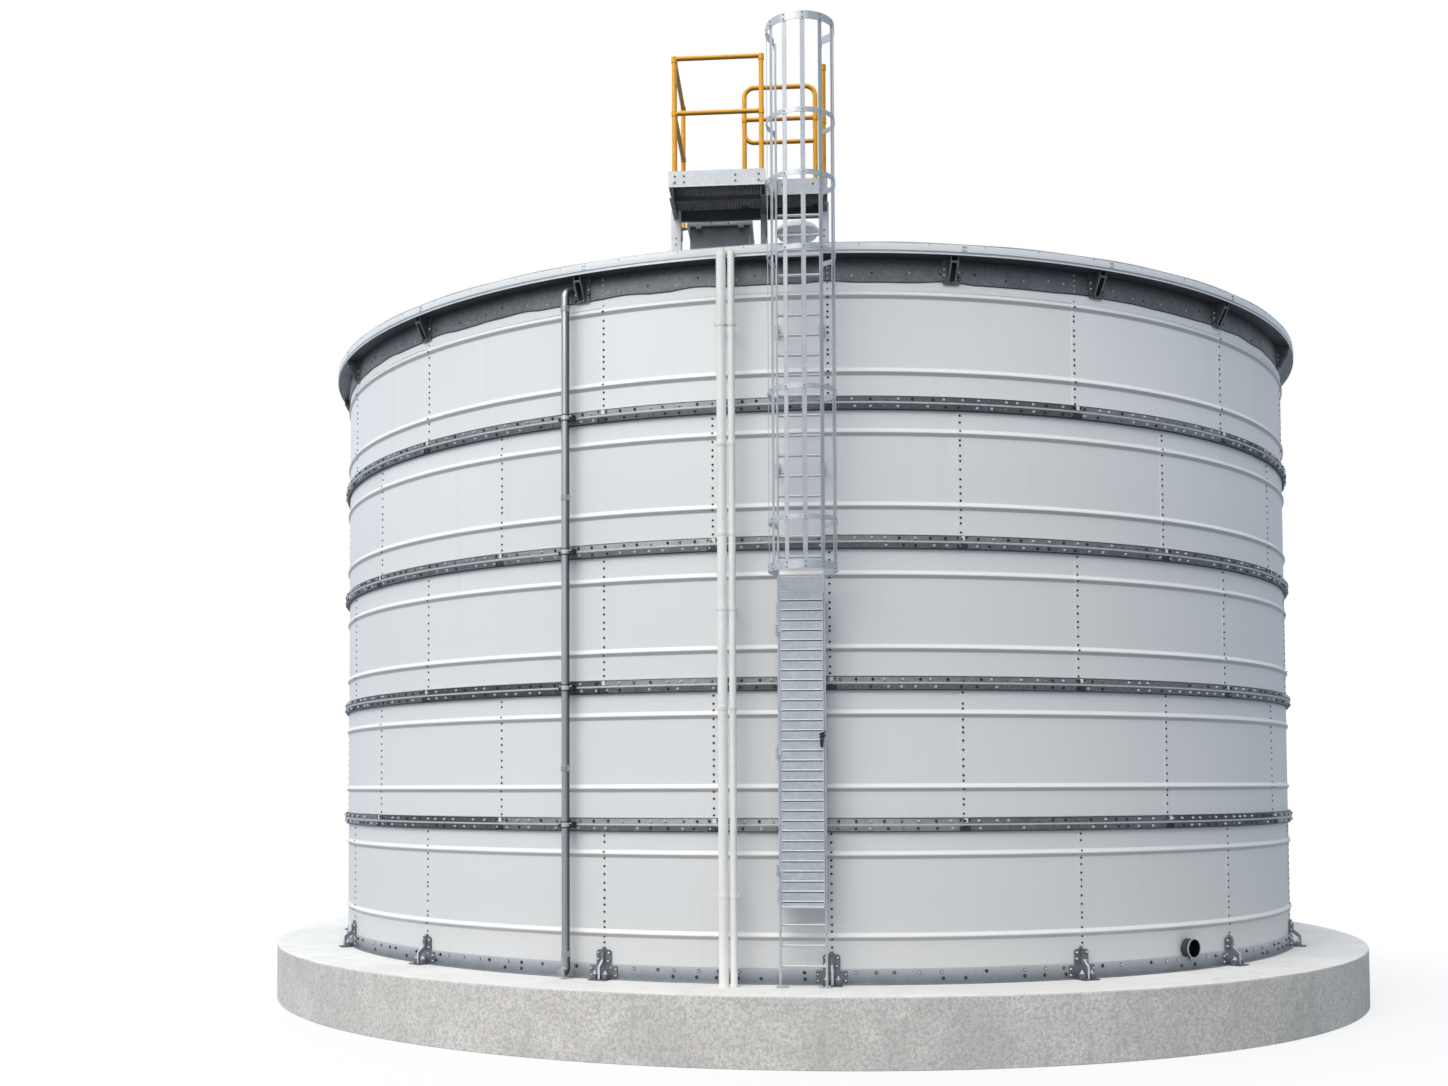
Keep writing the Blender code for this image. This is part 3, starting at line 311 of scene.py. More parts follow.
class Nodes:
    """A node tree of a material or the world, with one method that adds any node."""

    def __init__(self, tree):
        self.tree = tree

    def node(self, kind, inputs=None, settings=None, output=0):
        """Add a node: settings first, then the value or link of each socket. Gives one output."""
        node = self.tree.nodes.new(kind)
        for key, value in (settings or {}).items():
            setattr(node, key, value)
        for key, value in (inputs or {}).items():
            self.feed(node.inputs[key], value)
        return Value(self, node.outputs[output])

    def feed(self, socket, value):
        """Link a socket to a value, or set its constant, with alpha 1 added to a colour."""
        if isinstance(value, Value):
            self.tree.links.new(value.socket, socket)
        elif hasattr(value, "__len__"):
            wanted = len(socket.default_value)
            socket.default_value = tuple(value)[:wanted] + (1.0,) * (wanted - len(value))
        else:
            socket.default_value = value

    def between(self, value, low, high):
        """0 where a value is under the low bound, 1 over the high bound, smooth between them."""
        return self.node("ShaderNodeMapRange", {0: value, 1: low, 2: high, 3: 0.0, 4: 1.0},
                         {"interpolation_type": "SMOOTHSTEP", "clamp": True})

    def mix(self, factor, first, second):
        """Blend of two colours."""
        return self.node("ShaderNodeMix", {0: factor, 6: first, 7: second}, {"data_type": "RGBA"}, output=2)

    def tint(self, colour, value):
        """A colour multiplied by a number."""
        return self.node("ShaderNodeVectorMath", {0: colour, "Scale": value}, {"operation": "SCALE"})

    def sum(self, first, second):
        """Two colours added."""
        return self.node("ShaderNodeVectorMath", {0: first, 1: second}, {"operation": "ADD"})


class Finish(Nodes):
    """One material's nodes. It starts from a Principled shader and patterns on Object coordinates."""

    def __init__(self, name, roughness=0.5, metallic=0.0):
        self.material = bpy.data.materials.new(name)
        self.material.use_nodes = True
        super().__init__(self.material.node_tree)
        self.shader = self.tree.nodes["Principled BSDF"]
        self.set(Roughness=roughness, Metallic=metallic)
        self.place = self.node("ShaderNodeTexCoord", output="Object")

    def set(self, **sockets):
        """Feed the Principled shader's sockets; an underscore stands for a space."""
        for key, value in sockets.items():
            self.feed(self.shader.inputs[key.replace("_", " ")], value)

    def stretched(self, stretch):
        """Object coordinates multiplied by a vector."""
        return self.node("ShaderNodeVectorMath", {0: self.place, 1: stretch}, {"operation": "MULTIPLY"})

    def noise(self, scale, detail=3.0, stretch=None):
        """Fractal noise from 0 to 1, stretched along the axes where asked."""
        vector = self.stretched(stretch) if stretch else self.place
        return self.node("ShaderNodeTexNoise", {"Vector": vector, "Scale": scale, "Detail": detail})

    def flakes(self, scale):
        """Random grey for each cell of a Voronoi pattern."""
        colour = self.node("ShaderNodeTexVoronoi", {"Vector": self.place, "Scale": scale}, output="Color")
        return self.node("ShaderNodeSeparateColor", {0: colour}, output="Red")

    def specks(self, scale):
        """Distance to the nearest of scattered points."""
        return self.node("ShaderNodeTexVoronoi", {"Vector": self.place, "Scale": scale}, output="Distance")

    def height(self):
        """Object height in metres."""
        return self.node("ShaderNodeSeparateXYZ", {0: self.place}, output="Z")

    def facing(self, low, high):
        """Rises from 0 to 1 with the height of the surface normal between two bounds."""
        normal = self.node("ShaderNodeNewGeometry", output="Normal")
        return self.between(self.node("ShaderNodeSeparateXYZ", {0: normal}, output="Z"), low, high)

    def tone(self):
        """The piece's own value for each sheet or bolt, about 0.5."""
        return self.node("ShaderNodeAttribute", settings={"attribute_name": "tone"}, output="Fac")

    def layer(self, body, pattern, low, high, share, colour):
        """Body with a share of a colour laid over it where a pattern rises between two bounds."""
        return self.mix(self.between(pattern, low, high) * share, body, colour)

    def toned(self, body, bright, dark):
        """Body colour at tone 0.5, moved towards the bright colour above it and the dark one below it."""
        tone = self.tone()
        body = self.layer(body, tone, 0.5, 1.0, 0.85, bright)
        return self.layer(body, 0.5 - tone, 0.0, 0.5, 0.92, dark)

    def bump(self, height, distance, strength=1.0):
        """Normal from a height pattern of the given depth."""
        return self.node("ShaderNodeBump", {"Height": height, "Distance": distance, "Strength": strength},
                         output="Normal")


def shade(colour, factor):
    """A colour made lighter or darker, worked out in Python."""
    return tuple(min(1.0, channel * factor) for channel in colour)


def enamel_finish(colour):
    """Coated sheet: satin, a little different from sheet to sheet, with faint runs and dust at the foot."""
    finish = Finish("shell_enamel")
    broad = finish.noise(0.45, 2.0)
    runs = finish.noise(1.0, 4.0, stretch=(9.0, 9.0, 0.30))
    height = finish.height()
    # Painted light: the colour grows paler from 3.5 m to 7 m up, standing for the brighter light on the upper
    # shell.
    body = finish.mix(finish.between(height, above(3.5), above(7.0)), colour, shade(colour, 1.15))
    body = finish.layer(body, broad, 0.3, 0.7, 0.25, shade(colour, 0.94))
    body = finish.layer(body, finish.tone(), 0.0, 1.0, 0.3, shade(colour, 0.955))
    body = finish.layer(body, runs, 0.56, 0.78, 0.10, (0.58, 0.57, 0.54))
    # Darker towards the foot, from 1.9 m down to 0.1 m.
    clear_of_foot = finish.between(height, above(0.1), above(1.9))
    body = finish.mix((1.0 - clear_of_foot) * 0.30, body, (0.44, 0.45, 0.455))
    # Painted highlight on faces that look up, such as the tops of the beads.
    body = finish.mix(finish.facing(0.25, 0.5) * 0.7, body, (0.93, 0.93, 0.92))
    # Painted shade on faces that look down, under the beads.
    body = finish.mix((1.0 - finish.facing(-0.5, -0.25)) * 0.7, body, (0.40, 0.385, 0.37))
    finish.set(Base_Color=body, Roughness=0.34 + 0.10 * finish.noise(35.0, 3.0) + 0.06 * broad,
               Normal=finish.bump(finish.noise(90.0, 2.0), 0.0006, 0.25))
    return finish.material


def zinc_finish(name, colour, roughness, metallic, spangle=42.0, stain=0.35, contrast=0.25):
    """Hot-dip zinc: crystal flakes of several greys, duller patches and white bloom."""
    finish = Finish(name)
    flakes = finish.flakes(spangle)
    small = finish.flakes(spangle * 2.3)
    cloud = finish.noise(3.2, 4.0)
    fine = finish.noise(60.0, 3.0)
    body = finish.tint(colour, (flakes * 0.6 + small * 0.4 - 0.5) * contrast + 1.0)
    body = finish.layer(body, cloud, 0.45, 0.75, stain, shade(colour, 0.62))
    body = finish.layer(body, finish.noise(9.0, 5.0), 0.58, 0.74, 0.22, shade(colour, 1.45))
    bright = tuple(min(1.0, channel * 1.6 + 0.25) for channel in colour)
    body = finish.toned(body, bright, shade(colour, 0.10))
    # Where the tone is above 0.5, partly a pale part's own tone and partly a painted highlight, the zinc is
    # made less metallic.
    pale_tone_and_painted_highlight = finish.between(finish.tone(), 0.5, 1.0)
    finish.set(Base_Color=body, Metallic=metallic - metallic * 0.8 * pale_tone_and_painted_highlight,
               Roughness=roughness + 0.16 * flakes + 0.10 * cloud - 0.12,
               Normal=finish.bump(fine * 0.4 + flakes * 0.6, 0.0006, 0.35))
    return finish.material


def concrete_finish(colour):
    """Cast concrete: mottled and streaked sides, pits, a paler rim and a pale trowelled top."""
    finish = Finish("concrete")
    broad = finish.noise(0.9, 5.0)
    patch = finish.noise(4.0, 6.0)
    crumb = finish.noise(27.0, 5.0)
    grit = finish.noise(60.0, 4.0)
    streak = finish.noise(1.0, 5.0, stretch=(5.5, 5.5, 0.7))
    pits = finish.between(finish.specks(38.0), 0.10, 0.22)
    side = finish.mix(finish.between(broad, 0.32, 0.68), shade(colour, 0.90), shade(colour, 1.12))
    side = finish.layer(side, patch, 0.50, 0.70, 0.45, shade(colour, 1.30))
    side = finish.layer(side, streak, 0.56, 0.72, 0.40, shade(colour, 0.62))
    side = finish.layer(side, crumb, 0.46, 0.60, 0.48, shade(colour, 0.60))
    side = finish.layer(side, grit, 0.40, 0.65, 0.45, shade(colour, 0.52))
    side = finish.mix((1.0 - pits) * 0.5, side, shade(colour, 0.5))
    side = finish.layer(side, finish.height(), above(-0.022), above(-0.010), 0.55, (0.72, 0.70, 0.67))
    top = finish.mix(finish.between(broad, 0.35, 0.65), (0.88, 0.87, 0.85), (0.80, 0.785, 0.76))
    top = finish.layer(top, patch, 0.52, 0.7, 0.4, (0.68, 0.655, 0.62))
    top = finish.layer(top, crumb, 0.45, 0.7, 0.25, (0.70, 0.685, 0.66))
    finish.set(Base_Color=finish.mix(finish.facing(0.6, 0.9), side, top), Roughness=0.82 + 0.12 * patch,
               Normal=finish.bump(patch * 0.5 + grit * 0.3 + pits * 0.5, 0.005, 0.7))
    return finish.material


def plastic_finish(name, colour, roughness, grime=0.25):
    """Pipe plastic: nearly even, with dust on it and faint lengthwise marks."""
    finish = Finish(name)
    broad = finish.noise(2.5, 3.0)
    marks = finish.noise(1.0, 4.0, stretch=(30.0, 30.0, 1.2))
    body = finish.mix(finish.between(broad, 0.3, 0.7), shade(colour, 1.03), shade(colour, 0.95))
    body = finish.layer(body, marks, 0.55, 0.75, grime, (0.55, 0.51, 0.45))
    finish.set(Base_Color=body, Roughness=roughness + 0.12 * broad,
               Normal=finish.bump(finish.noise(80.0, 2.0), 0.0004, 0.3))
    return finish.material


def tube_finish(name, colour):
    """Drawn grey tube: half-bright metal with faint lengthwise streaks."""
    finish = Finish(name, metallic=0.7)
    broad = finish.noise(1.8, 3.0)
    streak = finish.noise(1.0, 4.0, stretch=(60.0, 60.0, 0.8))
    body = finish.mix(finish.between(streak, 0.35, 0.65), shade(colour, 1.15), shade(colour, 0.85))
    body = finish.layer(body, broad, 0.4, 0.7, 0.3, shade(colour, 0.75))
    # A piece's tone moves the colour towards near white and near black; the downpipe uses it for a painted
    # highlight and painted shade round its flanks.
    body = finish.toned(body, (0.85, 0.86, 0.87), (0.02, 0.02, 0.022))
    finish.set(Base_Color=body, Roughness=0.24 + 0.10 * streak,
               Normal=finish.bump(finish.noise(70.0, 2.0), 0.0003, 0.3))
    return finish.material


def rail_finish(colour):
    """Safety paint on tube: satin, chipped in specks and darker on its underside."""
    finish = Finish("rail_yellow")
    broad = finish.noise(7.0, 3.0)
    fine = finish.noise(120.0, 3.0)
    chips = finish.between(finish.noise(26.0, 6.0), 0.68, 0.71)
    body = finish.mix(finish.between(broad, 0.3, 0.7), shade(colour, 1.05), shade(colour, 0.95))
    body = finish.layer(body, fine, 0.55, 0.75, 0.12, shade(colour, 0.72))
    body = finish.mix(chips * 0.8, body, (0.16, 0.13, 0.10))
    # Painted shade on faces that look down.
    body = finish.mix((1.0 - finish.facing(-0.7, 0.1)) * 0.75, body, shade(colour, 0.16))
    finish.set(Base_Color=body, Roughness=0.36 + 0.2 * fine, Normal=finish.bump(fine - chips, 0.0008, 0.4))
    return finish.material


def iron_finish(name, colour, roughness):
    """Dark iron with a sandy skin and rubbed edges."""
    finish = Finish(name, metallic=0.6)
    grain = finish.noise(140.0, 4.0)
    cloud = finish.noise(8.0, 4.0)
    body = finish.mix(finish.between(cloud, 0.35, 0.7), shade(colour, 0.75), shade(colour, 1.5))
    body = finish.toned(body, (0.50, 0.53, 0.56), (0.002, 0.002, 0.003))
    finish.set(Base_Color=body, Roughness=roughness + 0.2 * grain, Normal=finish.bump(grain, 0.001, 0.5))
    return finish.material


looks = {}


def make_looks(colours):
    """Make every finish once, under the record's slot names."""
    light, dark, base = tuple(colours.zinc_light), tuple(colours.zinc_dark), tuple(colours.zinc_base)
    looks["concrete"] = concrete_finish(tuple(colours.concrete))
    looks["shell_enamel"] = enamel_finish(tuple(colours.enamel))
    looks["galvanised_dark"] = zinc_finish("galvanised_dark", dark, 0.50, 0.65, stain=0.5, contrast=0.6)
    looks["galvanised_base"] = zinc_finish("galvanised_base", base, 0.45, 0.6, contrast=0.3)
    looks["galvanised_light"] = zinc_finish("galvanised_light", light, 0.40, 0.55, contrast=0.16, stain=0.2)
    looks["roof_sheet"] = zinc_finish("roof_sheet", shade(light, 0.9), 0.42, 0.6, spangle=30.0, contrast=0.22)
    looks["cowl_white"] = plastic_finish("cowl_white", (0.82, 0.83, 0.84), 0.35, 0.12)
    looks["iron_dark"] = iron_finish("iron_dark", (0.055, 0.06, 0.066), 0.45)
    looks["pipe_white"] = plastic_finish("pipe_white", tuple(colours.pipe), 0.38)
    looks["pipe_grey"] = tube_finish("pipe_grey", (0.50, 0.51, 0.52))
    looks["grating_dark"] = zinc_finish("grating_dark", (0.13, 0.132, 0.135), 0.5, 0.6, contrast=0.6)
    looks["rail_yellow"] = rail_finish(tuple(colours.rail))


def above(height):
    """World height of a point given above the plinth's top."""
    return PLINTH_TOP + height


def radial(angle):
    """Sideways, upward and outward unit vectors at an angle or an array of angles round the tank."""
    turn = np.radians(np.asarray(angle, float))
    none = np.zeros_like(turn)
    side = np.stack([np.cos(turn), np.sin(turn), none], -1)
    out = np.stack([np.sin(turn), -np.cos(turn), none], -1)
    return side, np.broadcast_to([0.0, 0.0, 1.0], out.shape), out


def spread(front, number):
    """Angles as they show at the front, followed by more of them evenly round the back."""
    step = (front[0] + 360.0 - front[-1]) / (number + 1)
    return np.concatenate([front, front[-1] + step * np.arange(1, number + 1)])


def scattered(random, number, wander):
    """Angles evenly round the tank, each moved at random by up to a given angle either way."""
    return np.arange(number) * 360.0 / number + random.uniform(-wander, wander, number)


def ripple(random, turn, number, low, high):
    """Sum of cosines of random whole frequencies between two bounds, each with its own phase."""
    waves = random.integers(low, high, number)
    phases = random.uniform(0, 2 * np.pi, number)
    return np.cos(waves[:, None] * turn + phases[:, None]).sum(0) / math.sqrt(number)


def loft(rings, closed=False):
    """Skin over m rings of n points: quads join each ring to the next, and flat caps close the ends."""
    rings = np.asarray(rings, float)
    index = np.arange(rings.shape[0] * rings.shape[1]).reshape(rings.shape[:2])
    near, far = (index, np.roll(index, -1, axis=0)) if closed else (index[:-1], index[1:])
    quads = np.stack([near, np.roll(near, -1, axis=1), np.roll(far, -1, axis=1), far], -1).reshape(-1, 4)
    caps = [] if closed else [index[:1, ::-1], index[-1:]]
    return rings.reshape(-1, 3), [quads] + caps


def revolve(profile, angles, push=0.0, closed=False):
    """Outline of (radius, height) points carried round the axis, with a push added to each ring's radius."""
    profile = np.asarray(profile, float)
    _, up, out = radial(angles)
    radius = profile[None, :, 0] + np.reshape(push, (-1, 1))
    return loft(radius[..., None] * out[:, None] + profile[None, :, 1, None] * up[:, None], closed)


def full_round(profile, steps=ROUND_STEPS):
    """Closed ring: the outline revolved through the whole circle."""
    return revolve(profile, np.arange(steps) * 360.0 / steps, closed=True)


def circle(radius, steps=RAIL_STEPS):
    """Outline of a round bar."""
    turn = np.arange(steps) * 2 * np.pi / steps
    return radius * np.stack([np.cos(turn), np.sin(turn)], -1)


def flat_bar(thickness, height, edge=0.0012):
    """Outline of a flat bar with small chamfers: across first, then along its height."""
    a, b = thickness / 2, height / 2
    edge = min(edge, a * 0.8)
    return np.array([(-a, -b + edge), (-a + edge, -b), (a - edge, -b), (a, -b + edge),
                     (a, b - edge), (a - edge, b), (-a + edge, b), (-a, b - edge)])


def channel(width, height, sheet=0.006):
    """Outline of a channel whose web is on the left of the path and whose flanges point right."""
    a, b = width / 2, height / 2
    return np.array([(-a, -b), (a, -b), (a, -b + sheet), (-a + sheet, -b + sheet), (-a + sheet, b - sheet),
                     (a, b - sheet), (a, b), (-a, b)])


def quarter(corner, before, after, radius, steps=8):
    """Quarter circle that rounds a corner between the direction it comes from and the one it leaves in."""
    before, after = np.asarray(before, float), np.asarray(after, float)
    centre = np.asarray(corner, float) + (after - before) * radius
    turn = np.linspace(0.0, np.pi / 2, steps)[:, None]
    return centre - after * radius * np.cos(turn) + before * radius * np.sin(turn)


def sweep(path, outline, upright=(0.0, 0.0, 1.0)):
    """Outline carried along a plane path and mitred at its corners. Its second coordinate runs along the
    plane's normal."""
    path, upright = np.asarray(path, float), np.asarray(upright, float)
    step = np.diff(path, axis=0)
    step /= np.linalg.norm(step, axis=1, keepdims=True)
    ahead, behind = np.vstack([step, step[-1:]]), np.vstack([step[:1], step])
    along = ahead + behind
    along /= np.linalg.norm(along, axis=1, keepdims=True)
    across = np.cross(along, upright)
    reach = 1.0 / np.maximum(0.5, (np.cross(ahead, upright) * across).sum(1))
    rings = path[:, None] + outline[None, :, 0, None] * (across * reach[:, None])[:, None]
    return loft(rings + outline[None, :, 1, None] * upright)


def rod(start, end, radius, steps=RAIL_STEPS):
    """Straight round bar with softened ends between two points."""
    start, end = np.asarray(start, float), np.asarray(end, float)
    along = (end - start) / np.linalg.norm(end - start)
    helper = np.array([0.0, 0.0, 1.0]) if abs(along[2]) < 0.9 else np.array([0.0, 1.0, 0.0])
    side = np.cross(along, helper)
    side /= np.linalg.norm(side)
    up = np.cross(side, along)
    edge = radius * 0.12
    places = np.stack([start, start + along * edge, end - along * edge, end])
    radii = np.array([radius - edge, radius, radius, radius - edge])
    ring = circle(1.0, steps)
    spokes = ring[:, 0, None] * side + ring[:, 1, None] * up
    return loft(places[:, None] + radii[:, None, None] * spokes[None])


def stack(outlines, levels):
    """Skin over outlines in the local xy plane, each at its own height."""
    return loft([np.column_stack([outline, np.full(len(outline), level)])
                 for outline, level in zip(outlines, levels)])


def turned(profile, steps=PIPE_STEPS):
    """Turned solid on the local z axis: rings of (radius, z), capped where the profile starts and ends."""
    return stack([circle(radius, steps) for radius, _ in profile], [level for _, level in profile])


def prism(outline, low, high, edge=0.002):
    """Plate in the local xy plane from low to high z, its outline drawn in a little at both faces."""
    outline = np.asarray(outline, float)
    centre = outline.mean(0)
    reach = np.abs(outline - centre).max()
    inner = centre + (outline - centre) * (1.0 - edge / reach)
    return stack((inner, outline, outline, inner), (low, low + edge, high - edge, high))


def slab(low, high, edge=0.002):
    """Box between two corners with chamfered edges."""
    low, high = np.asarray(low, float), np.asarray(high, float)
    x0, y0, x1, y1 = low[0], low[1], high[0], high[1]
    edge = min(edge, (high - low).min() * 0.3)
    outline = np.array([(x0, y0 + edge), (x0 + edge, y0), (x1 - edge, y0), (x1, y0 + edge),
                        (x1, y1 - edge), (x1 - edge, y1), (x0 + edge, y1), (x0, y1 - edge)])
    inset = np.repeat([(x0 + edge, y0 + edge), (x1 - edge, y0 + edge), (x1 - edge, y1 - edge),
                       (x0 + edge, y1 - edge)], 2, axis=0)
    inner = inset * 0.98 + outline * 0.02
    return stack((inner, outline, outline, inner), (low[2], low[2] + edge, high[2] - edge, high[2]))


def collar(inner, outer, half, taper, steps=PIPE_STEPS):
    """Short sleeve round a tube: it steps from the inner radius to the outer one at both ends."""
    return turned([(inner, -half), (outer, taper - half), (outer, half - taper), (inner, half)], steps)


def washer(radius):
    """Thin disc that a bolt head stands on."""
    return turned([(radius, -0.001), (radius, 0.003)], 10)


def bolt(head=0.0085, height=0.008, foot=0.0125, steps=BOLT_STEPS):
    """Bolt head on its washer, pointing along local z: a step from the washer in to a domed head."""
    return turned([(foot, -0.001), (foot, 0.0025), (head, 0.0025), (head * 0.72, height)], steps)


def hex_nut(radius=0.018, height=0.016, foot=0.026, stud=0.010, stud_height=0.034):
    """Hexagon nut on a round washer with a stud standing out of it, along local z, on twelve points."""
    turn = np.arange(12) * np.pi / 6
    hexagon = radius * math.cos(math.pi / 6) / np.cos((turn % (np.pi / 3)) - np.pi / 6)
    even = np.ones(12)
    reach = np.stack([foot * even, foot * even, hexagon, hexagon, hexagon * 0.9, stud * even, stud * even,
                      stud * 0.8 * even])
    crown = height + 0.002
    levels = (-0.001, 0.004, 0.004, height, crown, crown, stud_height - 0.001, stud_height)
    return stack(reach[..., None] * circle(1.0, 12), levels)


class Shape:
    """Surfaces gathered into one mesh, with a tone for each sheet or bolt."""

    def __init__(self):
        self.points, self.tones, self.faces = [], [], []
        self.count = 0

    def add(self, surface, tone=0.5):
        """Take one surface as it lies. A row of tones is repeated over its rings."""
        points, faces = surface
        self.points.append(points)
        self.tones.append(np.resize(tone, len(points)))
        self.faces += [face + self.count for face in faces]
        self.count += len(points)

    def blocks(self, rows):
        """Chamfered boxes from rows of low corner, high corner, chamfer and tone."""
        for low, high, edge, tone in rows:
            self.add(slab(low, high, edge), tone)

    def scatter(self, surface, origins, axes=UPRIGHT, tones=0.5):
        """Copies of a surface: local x, y and z are laid along three axes at each origin."""
        points, faces = surface
        origins = np.asarray(origins, float).reshape(-1, 3)
        side, up, out = (np.broadcast_to(axis, origins.shape)[:, None] for axis in axes)
        placed = origins[:, None] + points[None, :, :1] * side + points[None, :, 1:2] * up
        placed = placed + points[None, :, 2:] * out
        number = len(origins)
        shift = (np.arange(number) * len(points) + self.count)[:, None, None]
        self.points.append(placed.reshape(-1, 3))
        self.tones.append(np.repeat(np.broadcast_to(tones, (number,)), len(points)))
        self.faces += [(face[None] + shift).reshape(-1, face.shape[1]) for face in faces]
        self.count += number * len(points)

    def on_wall(self, surface, angles, heights, radius, tones=0.5):
        """Copies on the shell: local x runs sideways, y up and z out of the tank."""
        angles, heights = np.broadcast_arrays(np.atleast_1d(angles), np.atleast_1d(heights))
        side, up, out = radial(angles)
        origins = out * np.reshape(radius, (-1, 1)) + up * above(heights)[:, None]
        self.scatter(surface, origins, (side, up, out), tones)

    def bolted(self, feet, axes, spots, ring, head):
        """Heads on black washers at rows of (across, rise, out, tone), measured from each foot."""
        side, up, out = axes
        for across, rise, proud, tone in spots:
            spot = feet + side * across + up * rise + out * proud
            self.scatter(ring, spot, axes, 0.0)
            self.scatter(head, spot + out * 0.002, axes, tone)


def store(name, shape, slot, nodes=(), body="tank", smooth=32.0):
    """Keep a shape as one object with its finish. It rides on a body and stands for its CAD nodes."""
    points = np.concatenate(shape.points)
    totals = np.concatenate([np.full(len(face), face.shape[1]) for face in shape.faces])
    corners = np.concatenate([face.ravel() for face in shape.faces])
    mesh = bpy.data.meshes.new(name)
    mesh.vertices.add(len(points))
    mesh.vertices.foreach_set("co", points.astype(np.float32).ravel())
    mesh.loops.add(len(corners))
    mesh.loops.foreach_set("vertex_index", corners.astype(np.int32))
    mesh.polygons.add(len(totals))
    mesh.polygons.foreach_set("loop_start", (np.cumsum(totals) - totals).astype(np.int32))
    mesh.update(calc_edges=True)
    if mesh.validate():
        raise RuntimeError(f"{name} has faces that can't be used")
    tones = mesh.attributes.new("tone", "FLOAT", "POINT")
    tones.data.foreach_set("value", np.concatenate(shape.tones).astype(np.float32))
    bm = bmesh.new()
    bm.from_mesh(mesh)
    bmesh.ops.recalc_face_normals(bm, faces=bm.faces)
    bm.to_mesh(mesh)
    bm.free()
    mesh.shade_smooth()
    mesh.set_sharp_from_angle(angle=math.radians(smooth))
    mesh.materials.append(looks[slot])
    piece = bpy.data.objects.new(name, mesh)
    bpy.context.scene.collection.objects.link(piece)
    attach(piece, body)
    if nodes:
        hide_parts(*nodes)
    return piece


def build_plinth(sizes):
    """Plinth: stacked rings from the underside up the side and over a worn rim to the flat top."""
    turn = np.arange(720) * 2 * np.pi / 720
    chips = np.minimum(np.maximum(0.0, ripple(np.random.default_rng(11), turn, 26, 20, 260)) ** 2, 1.6)
    levels = ((0.004, 0.0, 0.0), (0.0, 0.006, 0.0), (0.0, above(-0.030), 0.0), (0.0, above(-0.012), 0.3),
              (0.004, above(-0.004), 1.0), (0.014, above(-0.001), 0.6), (0.10, PLINTH_TOP, 0.0),
              (0.90, PLINTH_TOP, 0.0))
    rings = []
    for inset, height, share in levels:
        wear = share * sizes.rim_wear * chips
        ring = (PLINTH_EDGE - 0.0005 - inset - wear) * np.stack([np.cos(turn), np.sin(turn)])
        rings.append(np.stack([*ring, height - 0.25 * wear], -1))
    shape = Shape()
    shape.add(loft(rings))
    store("plinth_cast", shape, "concrete", ["plinth"])


def bead_rise(height, depth):
    """How far the shell stands out at heights, from the same rounded ridge at each bead."""
    height = np.asarray(height, float)
    reach = [fraction * BEAD_HALF_HEIGHT for fraction, _ in reversed(BEAD_SHAPE)]
    rise = [depth * share for _, share in reversed(BEAD_SHAPE)]
    middles = np.array([bead for pair in BEADS for bead in pair])
    nearest = np.abs(height[..., None] - middles).min(-1)
    return np.interp(nearest, [0.0] + reach, [depth] + rise)


def sheet_outline(low, high, beads, depth):
    """Outline of one sheet: down its outer face over the beads, then up its inner face."""
    outer = [(0.0, high)]
    for middle in sorted(beads, reverse=True):
        upper = [(depth * rise, middle + BEAD_HALF_HEIGHT * reach) for reach, rise in BEAD_SHAPE]
        lower = [(offset, 2 * middle - height) for offset, height in reversed(upper)]
        outer += upper + [(depth, middle)] + lower
    outer += [(0.0, low), (-SHEET, low), (-SHEET, high)]
    return np.array([(SHELL_RADIUS + offset, above(height)) for offset, height in outer])


def seam_angles(course):
    """Sheet edges of a course: as they show at the front, then evenly round the back."""
    start = SEAM_ANGLE - 90.0 + (SEAM_SHIFT if course % 2 else 0.0)
    back = start + 180.0 + SEAM_PITCH * np.arange(SEAMS // 2)
    return np.concatenate([[start], FRONT_SEAMS[course % 2], back])


def build_shell(sizes):
    """Sheets of each course, lapped like shingles: each one's left edge lies over its neighbour."""
    random = np.random.default_rng(5)
    lap = math.degrees(LAP / SHELL_RADIUS)
    share = np.linspace(0.0, 1.0, SHEET_STEPS + 1)
    edges = [0.0] + JOINTS + [SHELL_TOP]
    for course, beads in enumerate(BEADS):
        outline = sheet_outline(edges[course] + GAP, edges[course + 1] - GAP, beads, sizes.bead_depth)
        seams = seam_angles(course)
        seams = np.append(seams, seams[0] + 360.0)
        for half, first in (("front", 0), ("back", SEAMS // 2)):
            shape = Shape()
            for start, end in zip(seams[first:first + SEAMS // 2], seams[first + 1:]):
                angles = start - lap + (end - start + 2 * lap) * share
                shape.add(revolve(outline, angles, push=-(SHEET + 0.0004) * share), random.uniform(0.0, 1.0))
            store(f"sheets_{course + 1}_{half}", shape, "shell_enamel", [f"shell_course_{course + 1}_{half}"],
                  smooth=6.0)
    outer, inner = SHELL_RADIUS + 0.003, SHELL_RADIUS - 0.001
    top, foot = above(SKIRT_BOTTOM + 0.05), above(CURB_BOTTOM)
    shape = Shape()
    shape.add(full_round([(outer, top), (outer, foot), (inner, foot), (inner, top)]))
    store("curb_strip", shape, "shell_enamel")


